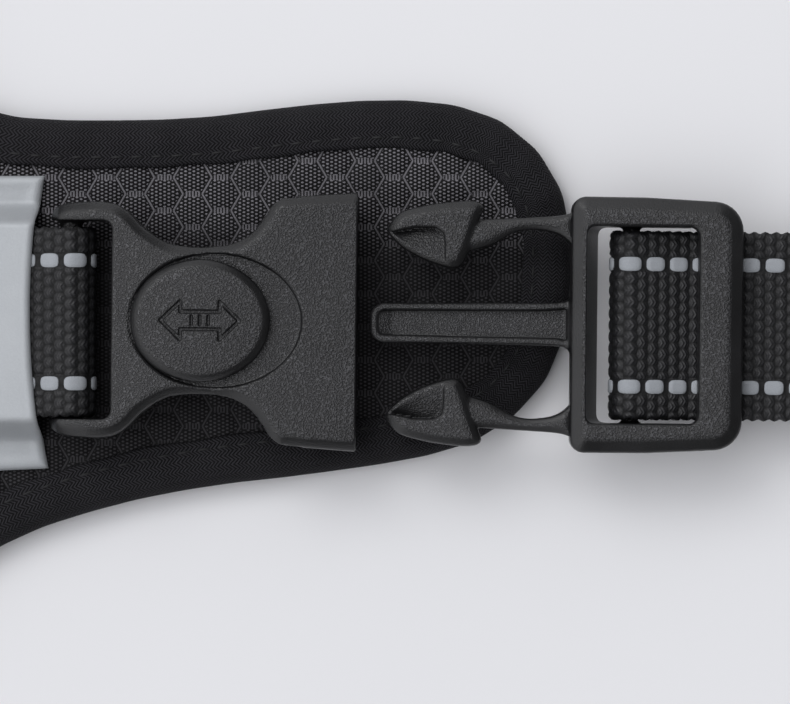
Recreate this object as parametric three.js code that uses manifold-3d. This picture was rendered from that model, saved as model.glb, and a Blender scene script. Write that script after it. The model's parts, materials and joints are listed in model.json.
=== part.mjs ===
// Padded safety harness vest, laid flat and unbuckled: a saddle with two wings and a neck fork, a belly
// strap with its pad, and two side-release buckles with sliding locks. Millimetres, +Z up, +X to the
// right wing, +Y to the neck. The origin is on the resting face, on the saddle's line of symmetry.
import * as THREE from 'three';
import { mergeVertices } from 'three/addons/utils/BufferGeometryUtils.js';
import Module from 'manifold-3d';

const wasm = await Module();
wasm.setup();

// ---- driving dimensions ------------------------------------------------------------------------
const GAP = 0.3;                 // clearance between pieces that touch
const SMOOTH = 96;               // points on a long curved outline

const LINING = 0.9;              // mesh lining thickness
const FOAM = 2.3;                // foam thickness
const FACE = 0.8;                // face fabric thickness
const PANEL_TOP = LINING + FOAM + FACE + 2 * GAP;
const BINDING = 6.6;             // width of binding tape seen on the face
const BINDING_LIFT = 0.1;        // binding clears the resting plane
const BINDING_TOP = PANEL_TOP - 0.2;

const WEB_WIDTH = 25;            // webbing
const WEB = 1.4;
const WEB_ON_PANEL = PANEL_TOP + GAP + WEB / 2;

const BUCKLE_TURN = -0.6;        // degrees, the right buckle line lies slightly askew
const BUCKLE_X = 101.9;          // middle of the female half from the vest's middle
const BUCKLE_Y = 0.15;
const BODY_HALF = 4.5;           // half thickness of the female half
const BUCKLE_CLEAR = 0.4;        // female half above the panel
const BUCKLE_Z = PANEL_TOP + BUCKLE_CLEAR + BODY_HALF; // middle plane of the right buckle
const PLATE = 1.5;               // its upper and lower plates
const MOUTH_U = 20.6;            // mouth plane from the middle of the female half
const MOUTH_HALF = 17.25;
const MOUTH_WALL = 0.8;
const CAVITY_BACK = -6.4;
const RIB_IN = 3.05;
const RIB_THICK = 1.1;
const RIB_FRONT = 12;
const LOOP_BAR_U = -17.6;        // rear webbing bar
const LOOP_BAR_W = -0.5;
const LOOP_BAR_R = 1.5;
const LOOP_GAP = 0.45;
const LOOP_START = 56;           // where each loop of the girth webbing is sewn on
const SLOT_FRONT = -11.9;
const SLOT_HALF = WEB_WIDTH / 2 + 0.65;
const LOOP_HALF = SLOT_HALF + 2.5; // half width of the female half beside its slot

const POCKET = { u: 1.8, a: 11.45, b: 8.9, depth: 0.8 };
const BUTTON = { u: -0.1, a: 9.3, b: 8.15, rise: 1.3 };
const BUTTON_TRAVEL = 3.7;
const STEM = { a: 2.4, b: 1.3 };
const RETAINER = { a: 3.2, b: 2.5, thick: 0.7 };

const MALE_OUT = 48.9;           // root face of the male half from the middle of the female half
const FRAME_LENGTH = 22.8;
const FRAME_THICK = 3.6;         // half thickness
const WINDOW_START = 2.1;
const WINDOW_LENGTH = 14.8;
const WINDOW_HALF = WEB_WIDTH / 2 + 0.55;
const FRAME_HALF = WINDOW_HALF + 3.85;
const END_BAR_BOTTOM = -0.4;
const INNER_BAR = { m: 8.1, w: -1.6, r: 1.1 };
const TONGUE_LENGTH = 26.6;
const TONGUE_HALF = 2.6;
const TONGUE_THICK = 1.5;        // half thickness
const BARB_HALF = 2.6;           // half thickness of the barbs
const ARM_HALF = 2.3;

const PAD_START = 130;           // belly pad, along the belly strap
const PAD_LENGTH = 105;
const PAD_HALF = 29;
const FAR_MALE = PAD_START + PAD_LENGTH + 55; // root face of the far male half
const FAR_Z = 4.7;
const LOOP_OUT = 1.2;            // the loop's free end past the frame
const SLOPE = 42;                // the strap comes down to the pad's level over this length

const STRIP_IN = 57;             // reflective strips
const STRIP_OUT = 79.6;
const STRIP = 0.5;

const HORN_Y = 162;              // neck webbing line
const NECK_WEB_HALF = 27;
const SLIDER = { halfX: 10.4, halfY: WEB_WIDTH / 2 + 3.1, bar: 2.4, thick: 1.8, z: WEB_ON_PANEL + 2 };
const RING = { wire: 1.9, halfIn: WEB_WIDTH / 2 + 1.5, depth: 19, y: -53, z: WEB_ON_PANEL + 3.5 };
const HANDLE = { y: 2, half: 33, foot: 11, rise: 24, width: 22, thick: 2 };

// ---- finishes ----------------------------------------------------------------------------------
const finish = (color, roughness, metalness = 0) =>
  () => new THREE.MeshStandardMaterial({ color, roughness, metalness });
const faceFabric = finish(0x202022, 0.85);
const tapeFabric = finish(0x1b1b1d, 0.9);
const meshFabric = finish(0x17171a, 0.9);
const foam = finish(0x3a3a3c, 0.95);
const webbing = finish(0x1d1d1f, 0.8);
const reflective = finish(0xa4abaf, 0.55);
const plastic = finish(0x2f2f31, 0.45);
const steel = finish(0xb0b2b5, 0.28, 1);

// ---- small helpers -----------------------------------------------------------------------------
const vest = new THREE.Group();

function put(parent, name, geometry, material) {
  const mesh = new THREE.Mesh(geometry, material());
  mesh.name = name;
  parent.add(mesh);
  return mesh;
}

function group(parent, x, y, z, turn = 0) {
  const g = new THREE.Group();
  g.position.set(x, y, z);
  g.rotation.z = THREE.MathUtils.degToRad(turn);
  parent.add(g);
  return g;
}

function toSolid(geometry) {
  const g = geometry.clone();
  g.deleteAttribute('normal');
  g.deleteAttribute('uv');
  const m = mergeVertices(g, 1e-4);
  return new wasm.Manifold(new wasm.Mesh({
    numProp: 3,
    vertProperties: new Float32Array(m.attributes.position.array),
    triVerts: new Uint32Array(m.index.array),
  }));
}

function toGeometry(solid) {
  const mesh = solid.getMesh();
  const g = new THREE.BufferGeometry();
  g.setAttribute('position', new THREE.BufferAttribute(mesh.vertProperties, 3));
  g.setIndex(new THREE.BufferAttribute(mesh.triVerts, 1));
  g.computeVertexNormals();
  return g;
}

const join = (...geometries) => geometries.map(toSolid).reduce((a, b) => a.add(b));
const cut = (solid, ...geometries) => geometries.map(toSolid).reduce((a, b) => a.subtract(b), solid);

function shapeOf(points, holes = []) {
  const shape = new THREE.Shape(points.map(([x, y]) => new THREE.Vector2(x, y)));
  shape.holes = holes.map((h) => new THREE.Path(h.map(([x, y]) => new THREE.Vector2(x, y))));
  return shape;
}

// Outline in XY, from z0 to z1.
function plate(points, z0, z1, holes = []) {
  const g = new THREE.ExtrudeGeometry(shapeOf(points, holes), { depth: z1 - z0, bevelEnabled: false });
  return g.translate(0, 0, z0);
}

// Outline in XZ, centred on y and as wide as given.
function acrossY(points, width, y = 0) {
  const g = new THREE.ExtrudeGeometry(shapeOf(points), { depth: width, bevelEnabled: false });
  return g.rotateX(Math.PI / 2).translate(0, y + width / 2, 0);
}

function block(x0, x1, y0, y1, z0, z1) {
  return new THREE.BoxGeometry(x1 - x0, y1 - y0, z1 - z0)
    .translate((x0 + x1) / 2, (y0 + y1) / 2, (z0 + z1) / 2);
}

function smoothLoop(points, count = SMOOTH) {
  const curve = new THREE.CatmullRomCurve3(points.map(([x, y]) => new THREE.Vector3(x, y, 0)), true);
  return curve.getSpacedPoints(count).slice(0, count).map((p) => [p.x, p.y]);
}

// A closed outline moved inwards by d, for outlines that turn counter-clockwise.
function inset(points, d) {
  const n = points.length;
  return points.map(([x, y], i) => {
    const [ax, ay] = points[(i + n - 1) % n];
    const [bx, by] = points[(i + 1) % n];
    const length = Math.hypot(bx - ax, by - ay);
    return [x - d * (by - ay) / length, y + d * (bx - ax) / length];
  });
}

function oval(cx, cy, a, b, count = 32) {
  return Array.from({ length: count }, (_, i) => {
    const t = (2 * Math.PI * i) / count;
    return [cx + a * Math.cos(t), cy + b * Math.sin(t)];
  });
}

// Points of an arc, angles in degrees.
function arc(cx, cy, r, from, to, steps = 8) {
  return Array.from({ length: steps + 1 }, (_, i) => {
    const t = THREE.MathUtils.degToRad(from + ((to - from) * i) / steps);
    return [cx + r * Math.cos(t), cy + r * Math.sin(t)];
  });
}

// The outline of a band of the given thickness that follows a path in its own plane.
function band(path, thickness) {
  const side = (sign) => path.map(([x, y], i) => {
    const [ax, ay] = path[Math.max(i - 1, 0)];
    const [bx, by] = path[Math.min(i + 1, path.length - 1)];
    const length = Math.hypot(bx - ax, by - ay);
    const step = (sign * thickness) / (2 * length);
    return [x - step * (by - ay), y + step * (bx - ax)];
  });
  return [...side(1), ...side(-1).reverse()];
}

const mirrorX = (points) => points.map(([x, y]) => [-x, y]).reverse();
const mirrorY = (points) => points.map(([x, y]) => [x, -y]).reverse();

// ---- padded panels -----------------------------------------------------------------------------
function paddedPanel(parent, name, outline) {
  const inner = inset(outline, BINDING + GAP);
  const rim = inset(outline, BINDING);
  const foamBottom = LINING + GAP;
  const faceBottom = foamBottom + FOAM + GAP;
  put(parent, `${name}_lining`, plate(inner, 0, LINING), meshFabric);
  put(parent, `${name}_foam`, plate(inner, foamBottom, foamBottom + FOAM), foam);
  put(parent, `${name}_face`, plate(inner, faceBottom, PANEL_TOP), faceFabric);
  put(parent, `${name}_binding`, plate(outline, BINDING_LIFT, BINDING_TOP, [rim]), tapeFabric);
}

function saddleOutline() {
  const right = [
    [24, -90], [41, -80], [50, -64], [57, -49], [65, -37.5], [75, -29.9], [88.3, -25.1], [101.6, -22.3],
    [114.9, -20.7], [128.2, -18.75], [137.2, -16.6], [144, -12.4], [149.3, -5.4], [151.2, 4.5],
    [150.9, 14.9], [148.2, 21.4], [143, 26.6], [136, 29.3], [127, 30.06], [114.9, 29.3], [101.6, 27.7],
    [88.3, 27.3], [75, 28], [66.5, 31.5], [62, 39], [62, 52], [66, 76], [67, 104], [60, 133], [46, 157],
    [31, 172], [20, 176], [12, 171], [9.2, HORN_Y], [12, 153], [20, 148], [31, 142], [39, 126],
    [42, 106], [40, 85], [32, 68], [17, 58],
  ];
  return smoothLoop([[0, -92], ...right, [0, 55], ...mirrorX(right)], 2 * SMOOTH);
}

// ---- reflective strips over the wings -------------------------------------------------------------
const webEdge = WEB_WIDTH / 2;
const stripSide = webEdge + 6.7;

function stripProfile(height) {
  return [
    [-stripSide, PANEL_TOP + GAP], [-webEdge - 2.6, PANEL_TOP + GAP], [-webEdge - 0.6, height],
    [webEdge + 0.6, height], [webEdge + 2.6, PANEL_TOP + GAP], [stripSide, PANEL_TOP + GAP],
  ];
}

// A solid through stations along X; each is a profile in YZ with the same number of points.
function loft(stations) {
  const rows = stations.map(([x, profile]) => profile.map(([y, z]) => [x, y, z]));
  const ring = rows[0].length;
  const index = [];
  for (let s = 0; s < rows.length - 1; s += 1) {
    for (let i = 0; i < ring; i += 1) {
      const a = s * ring + i;
      const b = s * ring + ((i + 1) % ring);
      index.push(a, b, a + ring, b, b + ring, a + ring);
    }
  }
  const caps = THREE.ShapeUtils.triangulateShape(stations[0][1].map(([y, z]) => new THREE.Vector2(y, z)), []);
  const last = (rows.length - 1) * ring;
  for (const [a, b, c] of caps) index.push(a, c, b, last + a, last + b, last + c);
  const g = new THREE.BufferGeometry();
  g.setAttribute('position', new THREE.Float32BufferAttribute(rows.flat(2), 3));
  g.setIndex(index);
  return g;
}

function thickened(profile) {
  const top = profile.map(([y, z]) => [y, z + STRIP]);
  return [...profile, ...top.reverse()];
}

function strip(name, turn) {
  const low = PANEL_TOP + 2 * GAP + WEB + GAP + WEB + GAP;
  const high = loopTop(STRIP_OUT) + GAP;
  const stations = [[STRIP_IN, low], [loopFoot, low + 0.1], [STRIP_OUT, high]];
  const side = group(vest, 0, 0, 0, turn);
  put(side, name, loft(stations.map(([x, h]) => [x, thickened(stripProfile(h))])), reflective);
}

// ---- girth webbing: across the saddle, looped round the rear bar of each female half ---------------
const barX = BUCKLE_X + LOOP_BAR_U;
const barZ = BUCKLE_Z + LOOP_BAR_W;
const loopR = LOOP_BAR_R + LOOP_GAP + WEB / 2;
const loopFoot = 68;
const upperWeb = WEB_ON_PANEL + WEB + GAP;

function loopTop(x) {
  const t = (x - loopFoot) / (barX - loopFoot);
  return upperWeb + (barZ + loopR - upperWeb) * t + WEB / 2;
}

function girthLoop() {
  return [
    [62.5, WEB_ON_PANEL], [loopFoot + 2, WEB_ON_PANEL],
    ...arc(barX, barZ, loopR, -100, 90, 14),
    [loopFoot, upperWeb], [61, upperWeb], [LOOP_START, WEB_ON_PANEL],
  ];
}

function girth() {
  const reach = LOOP_START - GAP;
  const across = band([[-reach, WEB_ON_PANEL], [reach, WEB_ON_PANEL]], WEB);
  const loop = band(girthLoop(), WEB);
  put(vest, 'girth_webbing', acrossY(across, WEB_WIDTH), webbing);
  put(vest, 'girth_loop_right', acrossY(loop, WEB_WIDTH), webbing);
  put(vest, 'girth_loop_left', acrossY(mirrorX(loop), WEB_WIDTH), webbing);
}

// ---- female half ---------------------------------------------------------------------------------
function femaleOutline() {
  const side = [
    [-20.6, 0], [-20.6, LOOP_HALF - 2.35], [-19.7, LOOP_HALF - 0.85], [-18.2, LOOP_HALF - 0.25],
    [-13.3, LOOP_HALF], [-11.3, LOOP_HALF - 0.35], [-9.6, LOOP_HALF - 1.45],
    [-7.6, 12], [-4.8, 10.4], [-2.5, 9.9], [0.5, 9.85], [3.7, 10.2], [6.4, 11.3], [8.3, 14],
    [9.3, 15.8], [10.8, 16.5], [MOUTH_U, MOUTH_HALF],
  ];
  return [...side.map(([u, v]) => [u, -v]), ...side.slice(1).reverse()].slice(1);
}

function femaleBody() {
  const side = [
    [-20.6, -1.8], [-19.2, -3.2], [-12.5, -BODY_HALF], [MOUTH_U, -BODY_HALF], [MOUTH_U, BODY_HALF],
    [-12.5, BODY_HALF], [-19.2, 3.2], [-20.6, 1.8],
  ];
  const wide = 2 * MOUTH_HALF + 2;
  let body = toSolid(plate(femaleOutline(), -BODY_HALF, BODY_HALF)).intersect(toSolid(acrossY(side, wide)));
  const hollow = BODY_HALF - PLATE;
  const inside = MOUTH_HALF - MOUTH_WALL;
  const ribOut = RIB_IN + RIB_THICK;
  body = cut(
    body,
    block(RIB_FRONT, MOUTH_U + 1, -inside, inside, -hollow, hollow),
    block(CAVITY_BACK, RIB_FRONT + 0.1, ribOut, inside, -hollow, hollow),
    block(CAVITY_BACK, RIB_FRONT + 0.1, -inside, -ribOut, -hollow, hollow),
    block(CAVITY_BACK, RIB_FRONT + 0.1, -RIB_IN, RIB_IN, -hollow, hollow),
    block(-22, SLOT_FRONT, -SLOT_HALF, SLOT_HALF, -6, 6),
    plate(oval(POCKET.u, 0, POCKET.a, POCKET.b), BODY_HALF - POCKET.depth, BODY_HALF + 1),
    block(BUTTON.u - STEM.a - GAP, BUTTON.u + STEM.a + GAP + BUTTON_TRAVEL, -STEM.b - GAP, STEM.b + GAP, 2, 6),
  );
  const bar = new THREE.CylinderGeometry(LOOP_BAR_R, LOOP_BAR_R, 2 * SLOT_HALF + 1, 16);
  return toGeometry(body.add(toSolid(bar.translate(LOOP_BAR_U, 0, LOOP_BAR_W))));
}

// Domed oval cap that lies in the pocket, with the stem that goes through the upper plate.
function lockButton() {
  const base = BODY_HALF - POCKET.depth + GAP;
  const top = BODY_HALF + BUTTON.rise;
  const under = BODY_HALF - PLATE - GAP - 0.1;
  const profile = [[0, base], [1, base], [1, base + 0.9], [0.93, base + 1.3], [0.7, top - 0.25], [0.4, top - 0.05],
    [0, top]];
  const cap = new THREE.LatheGeometry(profile.map(([x, y]) => new THREE.Vector2(x, y)), 32);
  cap.rotateX(Math.PI / 2).scale(BUTTON.a, BUTTON.b, 1);
  const stem = block(-STEM.a, STEM.a, -STEM.b, STEM.b, under, base + 0.5);
  return toGeometry(join(cap, stem)).translate(BUTTON.u, 0, 0);
}

function lockRetainer() {
  const top = BODY_HALF - PLATE - GAP - 0.1 - GAP;
  const { a, b, thick } = RETAINER;
  return block(BUTTON.u - a, BUTTON.u + a, -b, b, top - thick, top);
}

function female(name, x, y, z, turn) {
  const g = group(vest, x, y, z, turn);
  put(g, `female_body_${name}`, femaleBody(), plastic);
  put(g, `lock_button_${name}`, lockButton(), plastic);
  put(g, `lock_retainer_${name}`, lockRetainer(), plastic);
}

// ---- male half: m runs from the root face towards the strap, the tongue and barbs lie at negative m --
function frameOutline() {
  const corner = FRAME_HALF - 4.3;
  const side = [[18.4, FRAME_HALF - 0.3], [2.6, FRAME_HALF + 0.2], [1.2, FRAME_HALF], [0, FRAME_HALF - 2.3]];
  const top = [...arc(18.9, corner, 3.9, 5, 80, 5), ...side];
  return [...mirrorY(top), ...top];
}

function maleBody() {
  let frame = toSolid(plate(frameOutline(), -FRAME_THICK, FRAME_THICK));
  const windowEnd = WINDOW_START + WINDOW_LENGTH;
  const wall = [[windowEnd, -4], [windowEnd, 4], [WINDOW_START, 4], [WINDOW_START + 2, -4]];
  frame = cut(
    frame,
    acrossY(wall, 2 * WINDOW_HALF),
    block(windowEnd - 0.1, FRAME_LENGTH + 1, -WINDOW_HALF, WINDOW_HALF, -4, END_BAR_BOTTOM),
  );
  const { m, w, r } = INNER_BAR;
  const bar = new THREE.CylinderGeometry(r, r, 2 * WINDOW_HALF + 2, 16).translate(m, 0, w);
  const tip = arc(-TONGUE_LENGTH + TONGUE_HALF, 0, TONGUE_HALF - 0.1, 90, 270, 8);
  const root = TONGUE_HALF + 0.15;
  const tongue = plate([...tip, [1, -root], [1, root]], -TONGUE_THICK, TONGUE_THICK);
  const groove = plate([
    ...arc(-TONGUE_LENGTH + TONGUE_HALF + 0.6, 0, TONGUE_HALF - 1, 90, 270, 6), [-2, -1.7], [-2, 1.7],
  ], 0.7, 3);
  return toGeometry(cut(frame.add(toSolid(bar)).add(toSolid(tongue)), groove));
}

function barbOutline() {
  return [
    [-24.4, 12.6], [-24, 11.6], [-22.4, 10], [-19.6, 8.5], [-17, 7.6], [-14.8, 7.5], [-13.3, 9.6],
    [-10.5, 10.4], [-7.9, 11.9], [-5.7, 12.5], [-3, 12.3], [-GAP, 11.2], [-GAP, 14.2], [-6, 14.1],
    [-11.6, 13.8], [-12.2, 14.3], [-10.9, 15.4], [-11.8, 16.25], [-17.2, 16], [-22.8, 14.9],
  ];
}

function arm(sign) {
  const outline = sign > 0 ? barbOutline() : mirrorY(barbOutline());
  const head = toSolid(plate(outline, -BARB_HALF, BARB_HALF));
  const slim = [block(-12.4, 1, -18, 18, ARM_HALF, 4), block(-12.4, 1, -18, 18, -4, -ARM_HALF)];
  return toGeometry(cut(head, ...slim));
}

function male(name, parent, x, z, turn) {
  const g = group(parent, x, 0, z, turn);
  put(g, `male_frame_${name}`, maleBody(), plastic);
  put(g, `strap_loop_${name}`, acrossY(band(strapLoop(), WEB), WEB_WIDTH), webbing);
  put(g, `barb_arm_front_${name}`, arm(1), plastic);
  put(g, `barb_arm_rear_${name}`, arm(-1), plastic);
}

// ---- belly strap: a loop round the inner bar of each male half, and the run over the belly pad --------
// The run's ends are round and lie on the axes where the webbing bends next to each frame.
const turnR = INNER_BAR.r + GAP + WEB / 2;
const underBar = END_BAR_BOTTOM - GAP - WEB / 2;
const loopEnd = FRAME_LENGTH + LOOP_OUT;
const bendAt = loopEnd + WEB / 2 + GAP;

function strapLoop() {
  const { m, w } = INNER_BAR;
  return [
    [FRAME_LENGTH - 1.5, w - turnR], ...arc(m, w, turnR, 270, 90, 12),
    [m + 7.5, underBar], [loopEnd, underBar],
  ];
}

function bellyRuns() {
  const near = [MALE_OUT + bendAt, BUCKLE_Z + underBar];
  const far = [FAR_MALE - bendAt, FAR_Z + underBar];
  const down = near[0] + SLOPE;
  const up = PAD_START + PAD_LENGTH + 4;
  const nearRun = [near, [near[0] + 3, near[1]], [down, WEB_ON_PANEL]];
  const farRun = [[up, WEB_ON_PANEL], [far[0] - 6, far[1]], far];
  const nearCap = arc(...near, WEB / 2, 270, 90, 6).slice(1, -1);
  const farCap = arc(...far, WEB / 2, 90, -90, 6).slice(1, -1);
  const farBand = band(farRun, WEB);
  return [
    ['belly_strap_near', [...band(nearRun, WEB), ...nearCap]],
    ['belly_strap', band([[down + GAP, WEB_ON_PANEL], [up - GAP, WEB_ON_PANEL]], WEB)],
    ['belly_strap_far', [...farBand.slice(0, farRun.length), ...farCap, ...farBand.slice(farRun.length)]],
  ];
}

function bellyAssembly() {
  const g = group(vest, BUCKLE_X, BUCKLE_Y, 0, BUCKLE_TURN);
  for (const [name, outline] of bellyRuns()) put(g, name, acrossY(outline, WEB_WIDTH), webbing);
  const pad = group(g, PAD_START + PAD_LENGTH / 2, 0, 0);
  const half = PAD_LENGTH / 2;
  const quarter = [[half, 0], [half - 4, 17], [half - 18, PAD_HALF - 2.5], [half - 36, PAD_HALF]];
  const top = [...quarter, ...mirrorX(quarter)];
  paddedPanel(pad, 'belly_pad', smoothLoop([...top, ...mirrorY(top.slice(1, -1))], 64));
  male('right', g, MALE_OUT, BUCKLE_Z, 0);
  male('left', g, FAR_MALE, FAR_Z, 180);
}

// ---- neck fork hardware, leash ring and handle -----------------------------------------------------
function neckWebbing() {
  const top = SLIDER.z + SLIDER.thick / 2 + GAP + WEB / 2;
  const half = [[NECK_WEB_HALF, WEB_ON_PANEL], [14, WEB_ON_PANEL], [7.4, WEB_ON_PANEL], [2.4, top]];
  return acrossY(band([...half, ...mirrorX(half)], WEB), WEB_WIDTH, HORN_Y);
}

function slider() {
  const { halfX, halfY, bar, thick, z } = SLIDER;
  const rounded = [
    [-halfX, -halfY + 3], [-halfX + 3, -halfY], [halfX - 3, -halfY], [halfX, -halfY + 3],
    [halfX, halfY - 3], [halfX - 3, halfY], [-halfX + 3, halfY], [-halfX, halfY - 3],
  ];
  const y = WEB_WIDTH / 2 + 0.5;
  const window = (x0) => block(x0, x0 + halfX - 1.5 * bar, -y, y, z - thick, z + thick);
  const windows = [window(bar / 2), window(bar - halfX)];
  const frame = toSolid(plate(rounded, z - thick / 2, z + thick / 2));
  return toGeometry(cut(frame, ...windows)).translate(0, HORN_Y, 0);
}

// D-shaped wire ring: the straight side lies along X at the origin and the bow reaches to -Y.
function dRing() {
  const { wire, halfIn, depth } = RING;
  const a = halfIn + wire;
  const bow = arc(0, 0, 1, 200, 340, 12).map(([x, y]) => [x * a, y * (depth - 2)]);
  const points = [[-a, 0], [3 - a, 0], [0, 0], [a - 3, 0], [a, 0], ...bow.reverse()];
  const path = points.map(([x, y]) => new THREE.Vector3(x, y, 0));
  return wireRing(new THREE.CatmullRomCurve3(path, true, 'centripetal'), wire);
}

// A closed wire of round section that follows a closed path in the XY plane.
function wireRing(path, radius, steps = 40, sides = 10) {
  const up = new THREE.Vector3(0, 0, 1);
  const position = [];
  const index = [];
  for (let s = 0; s < steps; s += 1) {
    const centre = path.getPointAt(s / steps);
    const out = new THREE.Vector3().crossVectors(path.getTangentAt(s / steps), up).normalize();
    for (let i = 0; i < sides; i += 1) {
      const t = (2 * Math.PI * i) / sides;
      const p = centre.clone();
      p.addScaledVector(out, radius * Math.cos(t)).addScaledVector(up, radius * Math.sin(t));
      position.push(p.x, p.y, p.z);
      const a = s * sides + i;
      const b = s * sides + ((i + 1) % sides);
      const [c, d] = [(a + sides) % (steps * sides), (b + sides) % (steps * sides)];
      index.push(a, c, b, b, c, d);
    }
  }
  const g = new THREE.BufferGeometry();
  g.setAttribute('position', new THREE.Float32BufferAttribute(position, 3));
  g.setIndex(index);
  return g;
}

function ringTab(y, z) {
  const r = RING.wire + LOOP_GAP + 0.4 + WEB / 2;
  const path = [[20, WEB_ON_PANEL], [4, WEB_ON_PANEL], ...arc(0, z, r, 290, 90, 12), [8, upperWeb + 0.4],
    [20, upperWeb]];
  const g = new THREE.ExtrudeGeometry(shapeOf(band(path, WEB)), { depth: WEB_WIDTH, bevelEnabled: false });
  return g.rotateX(Math.PI / 2).rotateZ(Math.PI / 2).translate(-WEB_WIDTH / 2, y, 0);
}

function handle() {
  const { y, half, foot, rise, width, thick } = HANDLE;
  const low = PANEL_TOP + GAP + thick / 2;
  const side = [[half, low], [half - foot, low], [half - foot - 3, low + 4],
    [half - foot - 5, rise - 5], [half - foot - 9, rise]];
  const outline = shapeOf(band([...side, ...mirrorX(side)], thick));
  const g = new THREE.ExtrudeGeometry(outline, { depth: width, bevelEnabled: false });
  return g.rotateX(Math.PI / 2).rotateZ(Math.PI / 2).translate(-width / 2, y, 0);
}

// ---- assembly --------------------------------------------------------------------------------------
paddedPanel(vest, 'saddle', saddleOutline());
girth();
strip('reflective_strip_right', 0);
strip('reflective_strip_left', 180);
female('right', BUCKLE_X, BUCKLE_Y, BUCKLE_Z, BUCKLE_TURN);
female('left', -BUCKLE_X, 0, BUCKLE_Z, 180);
bellyAssembly();
put(vest, 'neck_webbing', neckWebbing(), webbing);
put(vest, 'neck_slider', slider(), plastic);
put(vest, 'handle', handle(), webbing);
put(vest, 'leash_ring', dRing().translate(0, RING.y, RING.z), steel);
put(vest, 'leash_ring_tab', ringTab(RING.y, RING.z), webbing);

export default vest;
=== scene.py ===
"""Looks of a padded safety harness vest that lies flat and unbuckled.

A winged saddle with a neck fork, girth webbing, a belly strap with its pad, and two side-release
buckles with sliding locks. Lengths in the classes are millimetres; objects are made in metres.
"""

from __future__ import annotations

import json
import logging
import math
import sys
from collections.abc import Callable, Sequence
from dataclasses import dataclass, field
from enum import Enum

import bmesh
import bpy
import numpy as np
from mathutils import Matrix, Vector

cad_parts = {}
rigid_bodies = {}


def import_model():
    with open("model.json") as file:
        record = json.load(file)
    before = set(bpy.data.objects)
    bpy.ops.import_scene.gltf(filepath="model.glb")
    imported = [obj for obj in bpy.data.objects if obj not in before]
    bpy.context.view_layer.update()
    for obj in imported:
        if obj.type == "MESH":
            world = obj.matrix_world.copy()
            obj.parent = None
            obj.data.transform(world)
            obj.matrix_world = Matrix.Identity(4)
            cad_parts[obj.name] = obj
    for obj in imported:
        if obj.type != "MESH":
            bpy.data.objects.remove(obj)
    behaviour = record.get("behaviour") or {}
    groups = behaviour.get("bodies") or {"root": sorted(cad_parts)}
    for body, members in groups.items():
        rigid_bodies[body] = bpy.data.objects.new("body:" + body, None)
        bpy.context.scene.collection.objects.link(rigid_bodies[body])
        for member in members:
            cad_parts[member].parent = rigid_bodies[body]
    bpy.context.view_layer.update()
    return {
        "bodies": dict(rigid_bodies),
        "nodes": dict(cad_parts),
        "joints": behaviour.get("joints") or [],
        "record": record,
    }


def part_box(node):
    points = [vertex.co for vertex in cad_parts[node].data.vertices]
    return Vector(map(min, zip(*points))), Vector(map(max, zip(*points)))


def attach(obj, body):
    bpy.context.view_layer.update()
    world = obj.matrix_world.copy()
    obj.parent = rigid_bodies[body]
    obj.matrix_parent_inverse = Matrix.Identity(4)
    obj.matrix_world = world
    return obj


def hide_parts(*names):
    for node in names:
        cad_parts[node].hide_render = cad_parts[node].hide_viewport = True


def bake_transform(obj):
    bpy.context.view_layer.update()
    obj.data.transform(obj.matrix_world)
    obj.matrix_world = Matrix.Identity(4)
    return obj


LOG = logging.getLogger("harness_vest")
MM = 0.001
Array = np.ndarray
Points = Sequence[tuple[float, float]]


# ---- signed distance shapes -------------------------------------------------------------------------


def smooth_min(a: Array, b: Array, k: float) -> Array:
    """Union of two distance fields with a fillet about k wide.

    Args:
        a: First distance field.
        b: Second distance field.
        k: Width of the blend.

    Returns:
        The joined field.
    """
    h = np.clip(0.5 + 0.5 * (b - a) / k, 0.0, 1.0)
    return b + (a - b) * h - k * h * (1.0 - h)


def smooth_max(a: Array, b: Array, k: float) -> Array:
    """Intersection of two distance fields with an edge rounding about k wide."""
    return -smooth_min(-a, -b, k)


def eased(t: Array) -> Array:
    """A smooth step from 0 to 1."""
    return t * t * (3.0 - 2.0 * t)


def polygon_distance(x: Array, y: Array, points: Points) -> Array:
    """Signed distance to a closed polygon, negative inside.

    Args:
        x: Places along the first axis.
        y: Places along the second axis.
        points: Corners of the polygon.

    Returns:
        The distance at each place.
    """
    best = np.full(np.broadcast(x, y).shape, np.inf)
    inside = np.zeros(best.shape, bool)
    for (ax, ay), (bx, by) in zip(points, [*points[1:], points[0]]):
        ex, ey = bx - ax, by - ay
        wx, wy = x - ax, y - ay
        t = np.clip((wx * ex + wy * ey) / max(ex * ex + ey * ey, 1e-12), 0.0, 1.0)
        best = np.minimum(best, (wx - ex * t) ** 2 + (wy - ey * t) ** 2)
        if ay != by:
            crosses = ((ay <= y) & (by > y)) | ((by <= y) & (ay > y))
            inside ^= crosses & (x < ax + (y - ay) / (by - ay) * ex)
    return np.where(inside, -1.0, 1.0) * np.sqrt(best)


def extruded(flat: Array, across: Array, half: Array | float, rounding: float) -> Array:
    """A flat distance field made into a slab with rounded rims.

    Args:
        flat: Distance in the plane of the outline.
        across: Distance from the slab's middle plane.
        half: Half the slab's thickness.
        rounding: Radius of the rims.

    Returns:
        The distance field of the slab.
    """
    a = flat + rounding
    b = np.abs(across) - half + rounding
    outside = np.sqrt(np.maximum(a, 0.0) ** 2 + np.maximum(b, 0.0) ** 2)
    return np.minimum(np.maximum(a, b), 0.0) + outside - rounding


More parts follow.
